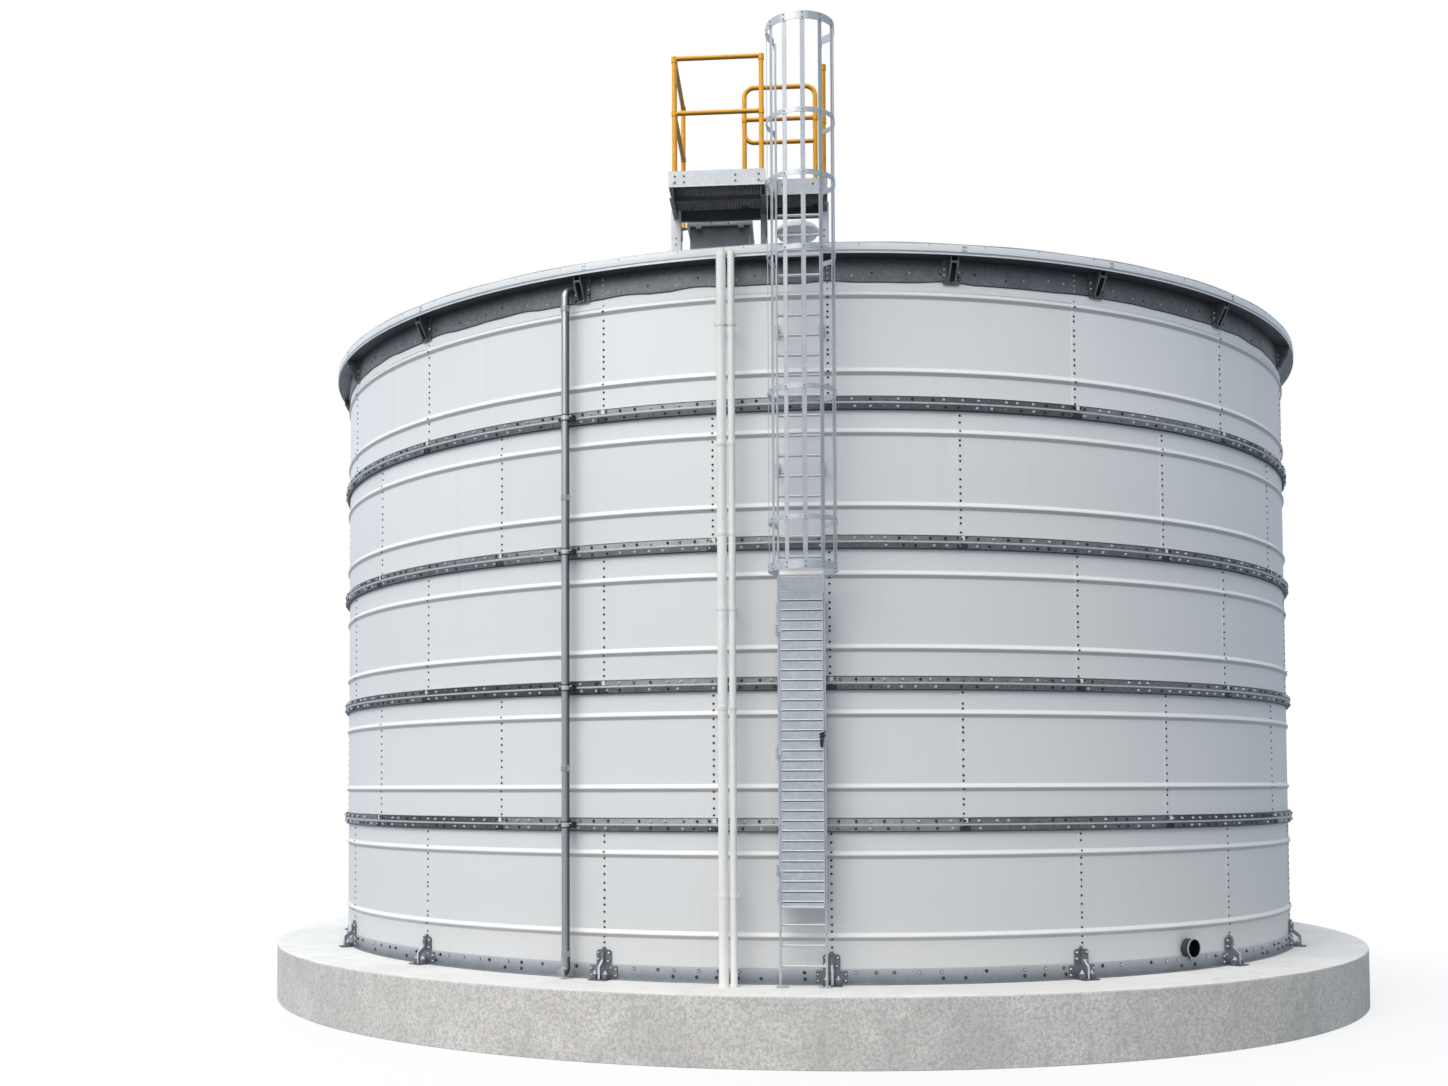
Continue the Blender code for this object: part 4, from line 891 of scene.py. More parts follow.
def build_seam_bolts(sizes):
    """Bolts down every seam, a little unevenly spaced, left out where rings and base angle lie."""
    random = np.random.default_rng(8)
    clear = 0.105
    edges = [0.10] + JOINTS + [SKIRT_BOTTOM + 0.12]
    head = bolt(sizes.bolt_head, 0.009, sizes.bolt_head * 1.45)
    for course in range(len(BEADS)):
        low, high = edges[course] + clear, edges[course + 1] - clear
        number = round((high - low) / sizes.bolt_pitch) + 1
        angles = np.repeat(seam_angles(course), number)
        wander = random.uniform(-1.0, 1.0, number * SEAMS) * sizes.bolt_scatter
        heights = np.tile(np.linspace(low, high, number), SEAMS) + wander
        radius = SHELL_RADIUS + bead_rise(heights, sizes.bead_depth)
        shape = Shape()
        shape.on_wall(head, angles, heights, radius, random.uniform(0.0, 0.10, len(angles)))
        store(f"seam_bolts_{course + 1}", shape, "galvanised_dark")


def build_rings(sizes):
    """Stiffener rings: two sloping bolted bands that meet in a bright ridge, over a dark lower lip."""
    random = np.random.default_rng(21)
    number = round(2 * math.pi * SHELL_RADIUS / sizes.ring_bolt_pitch)
    face, sunk = SHELL_RADIUS + RING_BAND, SHELL_RADIUS + RING_BAND - 0.002
    head, small = bolt(0.0125, 0.017, 0.0160), bolt(0.0085, 0.012, 0.0110)
    splice = slab((-0.030, -0.026, 0.0), (0.030, 0.026, 0.008), 0.003)
    tab = slab((-0.018, -0.022, 0.0), (0.018, 0.022, 0.006), 0.002)
    tones = np.array([tone for _, _, tone in RING_SHAPE])
    band = (tones > 0.3) & (tones < 0.6)
    for index, joint in enumerate(JOINTS):
        seams = seam_angles(index + 1)
        round_from_seam = (np.arange(ROUND_STEPS) * 360.0 / ROUND_STEPS - seams[0]) % 360.0
        segment = np.searchsorted(seams, seams[0] + round_from_seam)
        own = random.uniform(-0.22, 0.30, SEAMS + 2)[segment]
        shape = Shape()
        outline = [(SHELL_RADIUS + offset, above(joint + rise)) for offset, rise, _ in RING_SHAPE]
        shape.add(full_round(outline), (tones + band * own[:, None]).ravel())
        for rise in (0.037, -0.035):
            angles = scattered(random, number, 0.28)
            shape.on_wall(head, angles, joint + rise, face,
                          random.choice([0.08, 0.5, 1.0], number, p=[0.35, 0.2, 0.45]))
        for across in (-0.42, 0.42):
            for rise in (0.046, -0.026, -0.050):
                shape.on_wall(small, seams + across, joint + rise, face, 0.05)
        shape.on_wall(splice, seams, joint - 0.034, sunk, 0.12)
        store(f"ring_{index + 1}_angle", shape, "galvanised_dark", [f"stiffener_ring_{index + 1}"])
        shape = Shape()
        shape.on_wall(tab, seams + 0.10, joint + 0.040, sunk, 0.2)
        store(f"ring_{index + 1}_tabs", shape, "shell_enamel")


def build_base():
    """Base angle with the bolts round the shell's foot, and the hold-down brackets."""
    random = np.random.default_rng(3)
    number = 176
    flange = BASE_FLANGE
    outline = [(0.0006, BASE_LEG), (0.0095, BASE_LEG), (0.0105, 0.016), (0.014, 0.012),
               (flange - 0.001, 0.011), (flange, 0.002), (flange - 0.002, GAP * 2), (0.0006, GAP * 2)]
    shape = Shape()
    shape.add(full_round([(SHELL_RADIUS + offset, above(rise)) for offset, rise in outline]),
              [0.8] * 2 + [0.5] * 6)
    for rise, share in ((0.118, 0.80), (0.055, 0.38)):
        angles = scattered(random, number, 0.4)
        angles = angles[random.random(number) < share]
        tones = random.choice([0.05, 0.5, 1.0], len(angles), p=[0.3, 0.2, 0.5]) if rise > 0.1 else 0.1
        shape.on_wall(washer(0.0185), angles, rise, SHELL_RADIUS + 0.0095, 0.05)
        shape.on_wall(bolt(0.0105, 0.015, 0.0125), angles, rise, SHELL_RADIUS + 0.0115, tones)
    store("base_angle_ring", shape, "galvanised_base", ["base_angle"])
    hold_down_brackets()


def hold_down_brackets():
    """Brackets that hold the shell down: bolted plates, a flat foot, a hollow web and two anchor nuts."""
    side, up, out = facing = radial(spread(FRONT_BRACKETS, BACK_BRACKETS))
    foot = out * (SHELL_RADIUS + 0.002) + up * PLINTH_TOP
    height, half, wing = 0.30, 0.085, 0.155
    spine = prism([(-half, 0.13), (half, 0.13), (half, height - 0.02), (half - 0.02, height),
                   (0.026, height), (0.016, height + 0.022), (-0.016, height + 0.022), (-0.026, height),
                   (-half + 0.02, height), (-half, height - 0.02)], 0.0, 0.013)
    shape = Shape()
    shape.scatter(spine, foot, facing, 0.32)
    shape.scatter(slab((-wing, 0.004, 0.0), (wing, 0.14, 0.015), 0.003), foot, facing, 0.36)
    shape.scatter(slab((-0.100, GAP * 2, 0.0), (0.100, 0.012, 0.185), 0.003), foot, facing, 0.25)
    web = prism([(0.006, 0.011), (0.13, 0.011), (0.13, 0.13), (0.046, 0.20), (0.046, 0.28), (0.006, 0.28),
                 (0.006, 0.18), (0.020, 0.165), (0.104, 0.105), (0.104, 0.040), (0.006, 0.040)],
                -0.011, 0.011)
    shape.scatter(web, foot, (out, up, -side), 0.40)
    # Thin strips along the web's edges are toned bright: a painted highlight where the edges catch the light.
    shape.scatter(slab((-0.012, 0.012, 0.1295), (0.012, 0.130, 0.1325), 0.001), foot, facing, 0.95)
    lean = np.array([-0.084, 0.07]) / math.hypot(0.084, 0.07)
    leaning = (out * lean[0] + up * lean[1], side, out * lean[1] - up * lean[0])
    edge = slab((0.0, -0.012, 0.0), (0.107, 0.012, 0.003), 0.001)
    shape.scatter(edge, foot + out * 0.131 + up * 0.130, leaning, 0.95)
    for across in (-0.058, 0.058):
        anchor = foot + side * across + out * 0.100
        block = slab((across - 0.026, 0.012, 0.070), (across + 0.026, 0.062, 0.130), 0.004)
        shape.scatter(block, foot, facing, 0.3)
        for rise, tone in ((0.012, 0.9), (0.062, 1.0)):
            shape.scatter(hex_nut(), anchor + up * rise, (side, out, up), tone)
    spots = [(-0.060, 0.268, 0.0125, 1.0), (0.060, 0.268, 0.0125, 1.0), (-0.062, 0.205, 0.0125, 1.0),
             (0.050, 0.186, 0.0125, 1.0), (0.0, 0.309, 0.0125, 0.6)]
    spots += [(across, rise, 0.0145, 0.9) for across in (-0.137, 0.137) for rise in (0.042, 0.105)]
    shape.bolted(foot, facing, spots, washer(0.0195), bolt(0.0120, 0.018, 0.0140))
    store("hold_down_brackets", shape, "galvanised_base")


def build_eave(sizes):
    """Eave in three parts that share one run of random numbers."""
    random = np.random.default_rng(17)
    angles = spread(FRONT_GUSSETS, BACK_GUSSETS)
    eave_fascia(random, angles)
    eave_brackets(angles)
    eave_skirt(random, sizes)


def eave_fascia(random, angles):
    """Fascia with its drip edge and the soffit behind it, in lengths whose joints have riveted covers."""
    face, inside, sheet = FASCIA_RADIUS, SHELL_RADIUS - 0.03, 0.006
    back = face - sheet - 0.002
    # Tones down the outline: a pale face, a thin painted highlight at the drip edge, painted shade in the
    # step above it and under the lip, and the soffit painted black as shade.
    fascia = [(face - 0.002, EAVE_TOP, 1.0), (face, EAVE_TOP - 0.003, 1.0), (face, SOFFIT + 0.036, 0.95),
              (face - 0.001, SOFFIT + 0.033, 0.5), (face - 0.005, SOFFIT + 0.029, 0.25),
              (face - 0.005, SOFFIT + 0.013, 0.45), (face - 0.0005, SOFFIT + 0.010, 1.0),
              (face - 0.0005, SOFFIT + 0.004, 1.0), (face - 0.004, SOFFIT, 0.3), (face - 0.008, SOFFIT, 0.0),
              (inside, SOFFIT + 0.001, 0.0), (inside, SOFFIT + sheet, 0.0),
              (face - 0.010, SOFFIT + sheet, 0.0), (back, SOFFIT + 0.020, 0.5), (back, EAVE_TOP, 0.5)]
    shape = Shape()
    shape.add(full_round([(radius, above(height)) for radius, height, _ in fascia]),
              [tone for _, _, tone in fascia])
    cover = slab((-0.032, 0.034, -0.001), (0.032, EAVE_TOP - SOFFIT - 0.004, 0.0004), 0.0004)
    joints = angles + 0.9
    shape.on_wall(cover, joints, SOFFIT, face, 0.75)
    rivet = bolt(0.0045, 0.005, 0.006)
    for across in (-0.16, 0.02):
        for rise in (0.044, 0.080):
            shape.on_wall(rivet, joints + across, SOFFIT + rise, face, 0.0)
    number = 64
    along = scattered(random, number, 0.9)
    shape.on_wall(rivet, along, EAVE_TOP - random.uniform(0.008, 0.014, number), face, 0.1)
    store("eave_fascia", shape, "galvanised_light", ["eave"])


def eave_brackets(angles):
    """Brackets under the soffit: a bolted plate, and a hollow arm whose two webs lean out to the fascia."""
    side, up, out = facing = radial(angles)
    stand, low = SHELL_RADIUS + 0.0127, GUSSET_BOTTOM
    shape = Shape()
    plate = prism([(-0.095, low + 0.030), (-0.086, low + 0.009), (-0.065, low), (0.065, low),
                   (0.086, low + 0.009), (0.095, low + 0.030), (0.095, 0.0), (-0.095, 0.0)], 0.0, 0.010)
    shape.on_wall(plate, angles, SOFFIT, stand, 0.34)
    # A plate toned black between the webs: painted shade inside the arm.
    hollow = slab((-0.033, low + 0.016, 0.009), (0.033, -0.002, 0.013), 0.002)
    shape.on_wall(hollow, angles, SOFFIT, stand, 0.0)
    foot = out * stand + up * above(SOFFIT)
    tip = FASCIA_RADIUS - stand - 0.020
    bottom, end = np.array([(0.030, low + 0.030), (tip, -0.050)])
    web = prism([(0.004, low + 0.030), bottom, end, (tip, 0.0), (0.004, 0.0)], -0.004, 0.004)
    run = np.linalg.norm(end - bottom)
    lean = (end - bottom) / run
    leaning = (out * lean[0] + up * lean[1], side, up * lean[0] - out * lean[1])
    start = foot + out * bottom[0] + up * bottom[1]
    strip = slab((-0.004, -0.0075, -0.004), (run, 0.0075, 0.002), 0.0015)
    for across in (-0.036, 0.036):
        shape.scatter(web, foot + side * across, (out, up, -side), 0.25)
        shape.scatter(strip, start + side * across, leaning, 0.45)
    shape.scatter(slab((run - 0.020, -0.040, -0.004), (run, 0.040, 0.002)), start, leaning, 0.45)
    spots = ((-0.074, 0.154, 1.0), (-0.074, 0.094, 1.0), (-0.074, 0.037, 0.3), (0.080, 0.130, 1.0),
             (0.080, 0.085, 0.2), (0.080, 0.050, 0.5), (-0.015, 0.020, 0.6), (0.020, 0.020, 0.6))
    shape.bolted(foot, facing, [(across, low + rise, 0.0095, tone) for across, rise, tone in spots],
                 washer(0.0165), bolt(0.0120, 0.015, 0.0135))
    store("eave_brackets", shape, "galvanised_dark")


def eave_skirt(random, sizes):
    """Skirt under the soffit. Its lower edge wanders up and down with a sum of cosines round the tank."""
    steps = ROUND_STEPS * 4
    turn = np.arange(steps) * 360.0 / steps
    rise = np.clip(ripple(random, np.radians(turn), 14, 12, 64) * 0.6, -0.2, 1.0) * sizes.skirt_wave
    _, up, out = radial(turn)
    low, high = SKIRT_BOTTOM, SOFFIT - GAP
    # Tones up the skirt: near black under the soffit, lighter towards the foot and black on the lower edge,
    # painted shade of the eave; the skirt's dark zinc stands partly for that shade too.
    levels = ((0.0125, high, 0.0, 0.10), (0.0125, SOFFIT - 0.09, 0.0, 0.30), (0.0125, low + 0.10, 0.0, 0.38),
              (0.0125, low + 0.05, 0.3, 0.44), (0.0110, low + 0.010, 1.0, 0.50),
              (0.0105, low + 0.007, 1.0, 0.0), (0.0085, low, 1.0, 0.0), (0.0035, low + 0.001, 1.0, 0.0),
              (0.0035, high, 0.0, 0.0))
    rings = np.stack([out * (SHELL_RADIUS + offset) + up * (above(height) + rise * share)[:, None]
                      for offset, height, share, _ in levels], 1)
    shape = Shape()
    shape.add(loft(rings, closed=True), [tone for _, _, _, tone in levels])
    number = 150
    head, face = bolt(0.008, 0.009, 0.011), SHELL_RADIUS + 0.0115
    angles = scattered(random, number, 1.0)
    shape.on_wall(head, angles, low + random.uniform(0.035, 0.12, number), face,
                  random.choice([0.0, 0.9], number, p=[0.35, 0.65]))
    for height in np.arange(0.04, 0.26, 0.055):
        shape.on_wall(head, seam_angles(4), low + height, face, 0.9)
    store("eave_skirt_band", shape, "galvanised_dark", ["eave_skirt"])


def roof_height(radius):
    """World height of the roof's underside at a distance from the axis."""
    return above(EAVE_TOP) + GAP + (FASCIA_RADIUS - radius) * math.tan(ROOF_SLOPE)


def roof_seat(x, y):
    """World height of the roof sheet's top at a point."""
    return roof_height(math.hypot(x, y)) + ROOF_SHEET


def build_roof():
    """Roof sectors: tapering panels that swell a little between the ribs on their edges."""
    sectors = ("front", "right", "back", "left")
    panels = ROOF_PANELS // len(sectors)
    pitch = 90.0 / panels
    radii = np.array([FASCIA_RADIUS - 0.002, 6.05, 5.0, 3.9, 2.8, 1.7, 0.9, 0.42])
    swell = np.array([0.0, 0.002, 0.005, 0.006, 0.005, 0.002, 0.0])
    far = FASCIA_RADIUS - SEAM_MARGIN
    for index, side in enumerate(sectors):
        start = SEAM_ANGLE - 56.25 + 90.0 * index
        shape = Shape()
        for panel in range(panels):
            _, up, out = radial(start + pitch * (panel + np.linspace(0.0, 1.0, 7)))
            top = [out * radius + up * (roof_height(radius) + ROOF_SHEET + swell)[:, None]
                   for radius in radii]
            under = [out * radius + up * roof_height(radius) for radius in radii[::-1]]
            shape.add(loft(np.stack(top + under, 1)))
        for seam in range(panels):
            _, up, out = radial(start + pitch * seam)
            near = 1.3 if seam % 2 else 0.62
            radius = far + (near - far) * np.linspace(0.0, 1.0, 24)
            path = out * radius[:, None] + up * (roof_height(radius) + 0.022)[:, None]
            width = 0.030 if seam % 4 == 2 else 0.012
            shape.add(sweep(path, flat_bar(width, 0.034, 0.003), upright=up), 0.56)
        store(f"roof_{side}_panels", shape, "roof_sheet", [f"roof_{side}"])


def build_roof_items():
    """Small things that stand on the roof."""
    roof_hatch()
    roof_cowl()
    roof_cap()


def roof_hatch():
    """Hatch: a box with a flared foot on the sloping roof, a folded lid, screws, clasps and a grip."""
    (left, near, _), (right, far, top) = HATCH_LOW, HATCH_HIGH
    middle = (HATCH_LOW + HATCH_HIGH) / 2
    brow, rim, flare = top - 0.05, HATCH_RIM, 0.012
    corners = [(left + rim, near + rim), (right - rim, near + rim), (right - rim, far - rim),
               (left + rim, far - rim)]
    foot = [(x, y, roof_seat(x, y)) for x, y in corners]
    skirt = [(x + math.copysign(flare, x - middle.x), y + math.copysign(flare, y - middle.y), z + 0.002)
             for x, y, z in foot]
    shape = Shape()
    shape.add(loft([skirt, [(x, y, z + 0.02) for x, y, z in foot], [(x, y, brow) for x, y in corners]]),
              [0.5] * 8 + [0.05] * 4)
    shape.add(slab((left, near, brow), (right, far, top - 0.004), 0.006), 0.3)
    shape.add(slab((left + 0.05, near + 0.05, top - 0.006), (right - 0.05, far - 0.05, top), 0.003), 0.5)
    for rise in (0.10, 0.36):
        spots = [(x, near + rim, foot[0][2] + rise) for x in np.linspace(left + 0.06, right - 0.06, 14)]
        shape.scatter(bolt(0.006, 0.006, 0.009), spots, FACING_FRONT, 0.1)
    for x in (left + 0.12, right - 0.12):
        shape.add(slab((x - 0.03, near - 0.012, brow - 0.03), (x + 0.03, near + 0.004, brow + 0.03), 0.003),
                  0.3)
    grip = [(left + 0.25, near - 0.004, top - 0.02), (left + 0.25, near - 0.045, top - 0.02),
            (right - 0.25, near - 0.045, top - 0.02), (right - 0.25, near - 0.004, top - 0.02)]
    shape.add(sweep(grip, circle(0.006, 10)), 0.4)
    store("roof_hatch_lid", shape, "roof_sheet", ["roof_hatch"])


def roof_cowl():
    """White cowl: a neck, a brim and a dome that is part of an ellipse, turned from one outline."""
    foot, brim, crown = COWL_FOOT, above(7.70), above(7.87)
    dome = [(0.228 * math.cos(turn), brim + 0.055 + 0.115 * math.sin(turn))
            for turn in np.linspace(0, 1.45, 9)]
    profile = [(0.150, foot + 0.001), (0.150, foot + 0.02), (0.140, foot + 0.03), (0.140, brim + 0.004),
               (0.186, brim), (0.198, brim + 0.006), (0.222, brim + 0.050)] + dome + [(0.001, crown - 0.0005)]
    shape = Shape()
    shape.scatter(turned(profile, 48), [(*COWL, 0.0)])
    store("roof_cowl_cap", shape, "cowl_white", ["roof_vent"])


def roof_cap():
    """Cap at the roof's centre: a cone with the roof's slope, a neck and a shallow hood, and its screws."""
    foot, rise = CAP_FOOT, math.tan(ROOF_SLOPE)
    neck = foot + 0.41 * rise
    profile = [(0.17, foot + 0.44 * rise), (CAP_RADIUS - 0.002, foot + 0.001), (CAP_RADIUS, foot + 0.003),
               (CAP_RADIUS - 0.004, foot + 0.013), (0.19, neck + 0.014), (0.18, neck + 0.022),
               (0.18, foot + 0.24), (0.295, foot + 0.245), (0.300, foot + 0.252), (0.297, foot + 0.262),
               (0.16, foot + 0.325), (0.10, foot + 0.344), (0.001, foot + 0.350)]
    shape = Shape()
    shape.scatter(turned(profile, 72), [(0.0, 0.0, 0.0)])
    _, up, out = radial(np.arange(24) * 15.0)
    spots = out * 0.575 + up * (foot + 0.015)
    shape.scatter(bolt(0.007, 0.007, 0.010), spots, (out, np.cross(up, out), up), 0.2)
    store("roof_cap_disc", shape, "roof_sheet", ["roof_cap"])


def build_ladder():
    """Stiles with softened edges, welded rungs, wall stays, bolted feet, the head plate and hinge pins."""
    half, (thick, deep) = LADDER_HALF, STILE
    plate = slab((-0.03, -0.07, 0.0), (0.03, 0.07, 0.008))
    shape = Shape()
    for side in (-1, 1):
        middle, sole = LADDER_X + side * (half - thick / 2), LADDER_X + side * (half - 0.03)
        shape.blocks([((middle - thick / 2, STILE_FRONT, above(GAP)),
                       (middle + thick / 2, LADDER_Y + deep / 2, above(LADDER_TOP)), 0.004, 0.5),
                      ((sole - 0.06, LADDER_Y - 0.06, above(GAP)),
                       (sole + 0.06, LADDER_Y + 0.06, above(0.010)), 0.002, 0.45)])
        spots = [(sole + side * across, LADDER_Y - 0.04, above(0.010)) for across in (-0.03, 0.045)]
        shape.scatter(hex_nut(0.012, 0.012, 0.018, 0.007, 0.024), spots, tones=0.35)
        angle = math.degrees(math.asin(middle / SHELL_RADIUS))
        shape.on_wall(plate, angle, STAYS, SHELL_RADIUS + 0.0008)
        for height in STAYS:
            shape.on_wall(bolt(), angle, (height - 0.05, height + 0.05), SHELL_RADIUS + 0.008, 0.2)
            shape.add(slab((middle - 0.012, LADDER_Y + 0.02, above(height) - 0.03),
                           (middle + 0.012, -SHELL_RADIUS - 0.002, above(height) + 0.03)))
        spots = [(middle, STILE_FRONT, above(rise)) for rise in (0.045, 0.075)]
        shape.scatter(bolt(0.007, 0.008, 0.011), spots, FACING_FRONT, 0.3)
    r, inner = RUNG_RADIUS, half - thick
    rung = turned([(r + 0.004, -inner - 0.001), (r, -inner + 0.005), (r, inner - 0.005),
                   (r + 0.004, inner + 0.001)], 16)
    spots = [(LADDER_X, LADDER_Y, above(FIRST_RUNG + RUNG_PITCH * index)) for index in range(RUNGS)]
    shape.scatter(rung, spots, (Y_AXIS, Z_AXIS, X_AXIS))
    head = half - thick / 2
    shape.add(slab((LADDER_X - head, STILE_FRONT - 0.006, above(GUARD_TOP + 0.012)),
                   (LADDER_X + head, STILE_FRONT + 0.001, above(GUARD_HEAD)), 0.0015), 0.56)
    for height in HINGES:
        middle = above(height)
        low, high = (HINGE_X, GUARD_FACE, middle - 0.05), (HINGE_X, GUARD_FACE, middle + 0.044)
        shape.add(rod(low, high, 0.0048, 12), 0.4)
        shape.add(slab((HINGE_X - 0.010, GUARD_FACE - 0.010, middle - 0.0703),
                       (LADDER_X - half + 0.004, LADDER_Y - 0.006, middle - 0.0403)), 0.4)
    latch = above(LATCH_HEIGHT)
    shape.add(slab((LADDER_X + half - 0.004, STILE_FRONT - 0.024, latch - 0.03),
                   (LADDER_X + half + 0.020, STILE_FRONT + 0.03, latch + 0.03), 0.003), 0.3)
    store("ladder_rails", shape, "galvanised_light", ["ladder"])


def hoop_line(steps=44):
    """Plan of a hoop: behind the left stile, round the front in a circle's arc, to the right stile."""
    side = LADDER_HALF + GAP + HOOP_SHEET / 2
    near, rear = STILE_FRONT - 0.005, LADDER_Y + 0.02
    turn = np.radians(np.linspace(-HOOP_END, HOOP_END, steps))
    bow = CAGE[:2] + CAGE_RADIUS * np.stack([np.sin(turn), -np.cos(turn)], -1)
    left = [(LADDER_X - side, rear), (LADDER_X - side, near)]
    right = [(LADDER_X + side, near), (LADDER_X + side, rear)]
    return np.concatenate([left, bow, right])


def build_cage():
    """Hoops of bent flat bar and the straps inside them, with a bolt at each crossing."""
    line = hoop_line()
    shape = Shape()
    for middle, height in HOOPS:
        path = np.column_stack([line, np.full(len(line), above(middle))])
        shape.add(sweep(path, flat_bar(HOOP_SHEET, height)))
        for side in (-1, 1):
            edge = LADDER_X + side * (LADDER_HALF + GAP + HOOP_SHEET)
            spots = [(edge, LADDER_Y - 0.005, above(middle + rise)) for rise in (-0.012, 0.012)]
            shape.scatter(bolt(0.007, 0.007, 0.010), spots, (side * -Y_AXIS, Z_AXIS, side * X_AXIS), 0.3)
    low, high = HOOPS[0][0] - HOOPS[0][1] / 2 + 0.004, HOOPS[-1][0] + HOOPS[-1][1] / 2 - 0.004
    _, up, out = facing = radial(4.0 + STRAP_PITCH * np.arange(-3, 4))
    strap = slab((-STRAP_WIDTH / 2, above(low), -HOOP_SHEET - 0.003),
                 (STRAP_WIDTH / 2, above(high), -0.0032), 0.0012)
    shape.scatter(strap, CAGE + out * CAGE_RADIUS, facing, 0.40)
    for middle, height in HOOPS:
        for rise in (-0.022, 0.022) if height > 0.06 else (0.0,):
            spots = CAGE + out * (CAGE_RADIUS + 0.003) + up * above(middle + rise)
            shape.scatter(bolt(0.0065, 0.006, 0.0085), spots, facing, 0.15)
    store("cage_hoops", shape, "galvanised_light", ["ladder_cage"])


def build_guard():
    """Folded guard plate: its section of creases is carried from edge to edge. Padlock on the right."""
    left, right = LADDER_X - GUARD_WIDTH / 2, LADDER_X + GUARD_WIDTH / 2
    front, back = GUARD_FACE - GUARD_SHEET / 2, GUARD_FACE + GUARD_SHEET / 2
    # Each crease is toned light above and dark below: a painted highlight on its fold and painted shade in
    # its groove.
    crease = ((0.0, 0.013, 0.52), (-0.003, 0.010, 1.0), (-0.0035, 0.003, 1.0), (-0.002, 0.0, 0.0),
              (0.005, -0.001, 0.0), (0.005, -0.007, 0.0), (0.0, -0.009, 0.48))
    face = [(front, GUARD_TOP, 0.5)]
    for height in np.arange(GUARD_TOP - 0.085, GUARD_BOTTOM + 0.05, -CREASE_PITCH):
        face += [(front + proud, height + rise, tone) for proud, rise, tone in crease]
    # The lower lip: a painted highlight on its top, painted shade on its underside.
    face += [(front, GUARD_BOTTOM + 0.022, 0.5), (front - 0.030, GUARD_BOTTOM + 0.020, 0.9),
             (front - 0.030, GUARD_BOTTOM + 0.002, 0.5), (front - 0.028, GUARD_BOTTOM, 0.1),
             (back, GUARD_BOTTOM, 0.1), (back, GUARD_TOP, 0.5)]
    shape = Shape()
    shape.add(loft([[(x, y, above(z)) for y, z, _ in face] for x in (left + 0.010, right - 0.010)]),
              [tone for _, _, tone in face])
    for x in (left, right - 0.012):
        shape.add(slab((x, front - 0.004, above(GUARD_BOTTOM)), (x + 0.012, back - 0.0005, above(GUARD_TOP)),
                       0.0025), 0.6)
    knuckle = turned([(0.0055, -0.0395), (0.011, -0.0395), (0.012, -0.038), (0.012, 0.038), (0.011, 0.0395),
                      (0.0055, 0.0395)], 20)
    for height in HINGES:
        middle = above(height)
        shape.scatter(knuckle, [(HINGE_X, GUARD_FACE, middle)], tones=0.45)
        shape.add(slab((HINGE_X + 0.006, GUARD_FACE - 0.003, middle - 0.038),
                       (left + 0.024, GUARD_FACE + 0.003, middle + 0.038), 0.001), 0.45)
    store("guard_plate", shape, "galvanised_light", ["ladder_guard"], body="guard")
    guard_padlock(right - 0.022, front - 0.0045, above(LATCH_HEIGHT))


def guard_padlock(x, skin, z):
    """Hasp, staple, padlock and bolt on the guard's skin. The shackle is two quarter bends between legs."""
    near = skin - 0.017
    shape = Shape()
    shape.blocks([((x - 0.022, skin - 0.006, z - 0.004), (x + 0.026, skin, z + 0.046), 0.002, 0.5),
                  ((x + 0.004, skin - 0.016, z + 0.016), (x + 0.034, skin - 0.004, z + 0.036), 0.003, 0.4),
                  ((x - 0.018, skin - 0.026, z - 0.052), (x + 0.018, skin - 0.008, z - 0.010), 0.004, 0.5),
                  ((x - 0.014, skin - 0.016, z - 0.092), (x + 0.012, skin, z - 0.050), 0.004, 0.3)])
    shape.add(rod((x - 0.010, skin - 0.014, z + 0.040), (x + 0.046, skin - 0.014, z + 0.062), 0.007, 12))
    shackle = np.vstack([(x - 0.011, near, z - 0.014),
                         quarter((x - 0.011, near, z + 0.022), Z_AXIS, X_AXIS, 0.011, 6),
                         quarter((x + 0.011, near, z + 0.022), X_AXIS, -Z_AXIS, 0.011, 6)[1:],
                         (x + 0.011, near, z - 0.014)])
    shape.add(sweep(shackle, circle(0.0035, 10), upright=Y_AXIS), 0.6)
    store("guard_padlock", shape, "iron_dark", ["guard_latch"], body="guard")


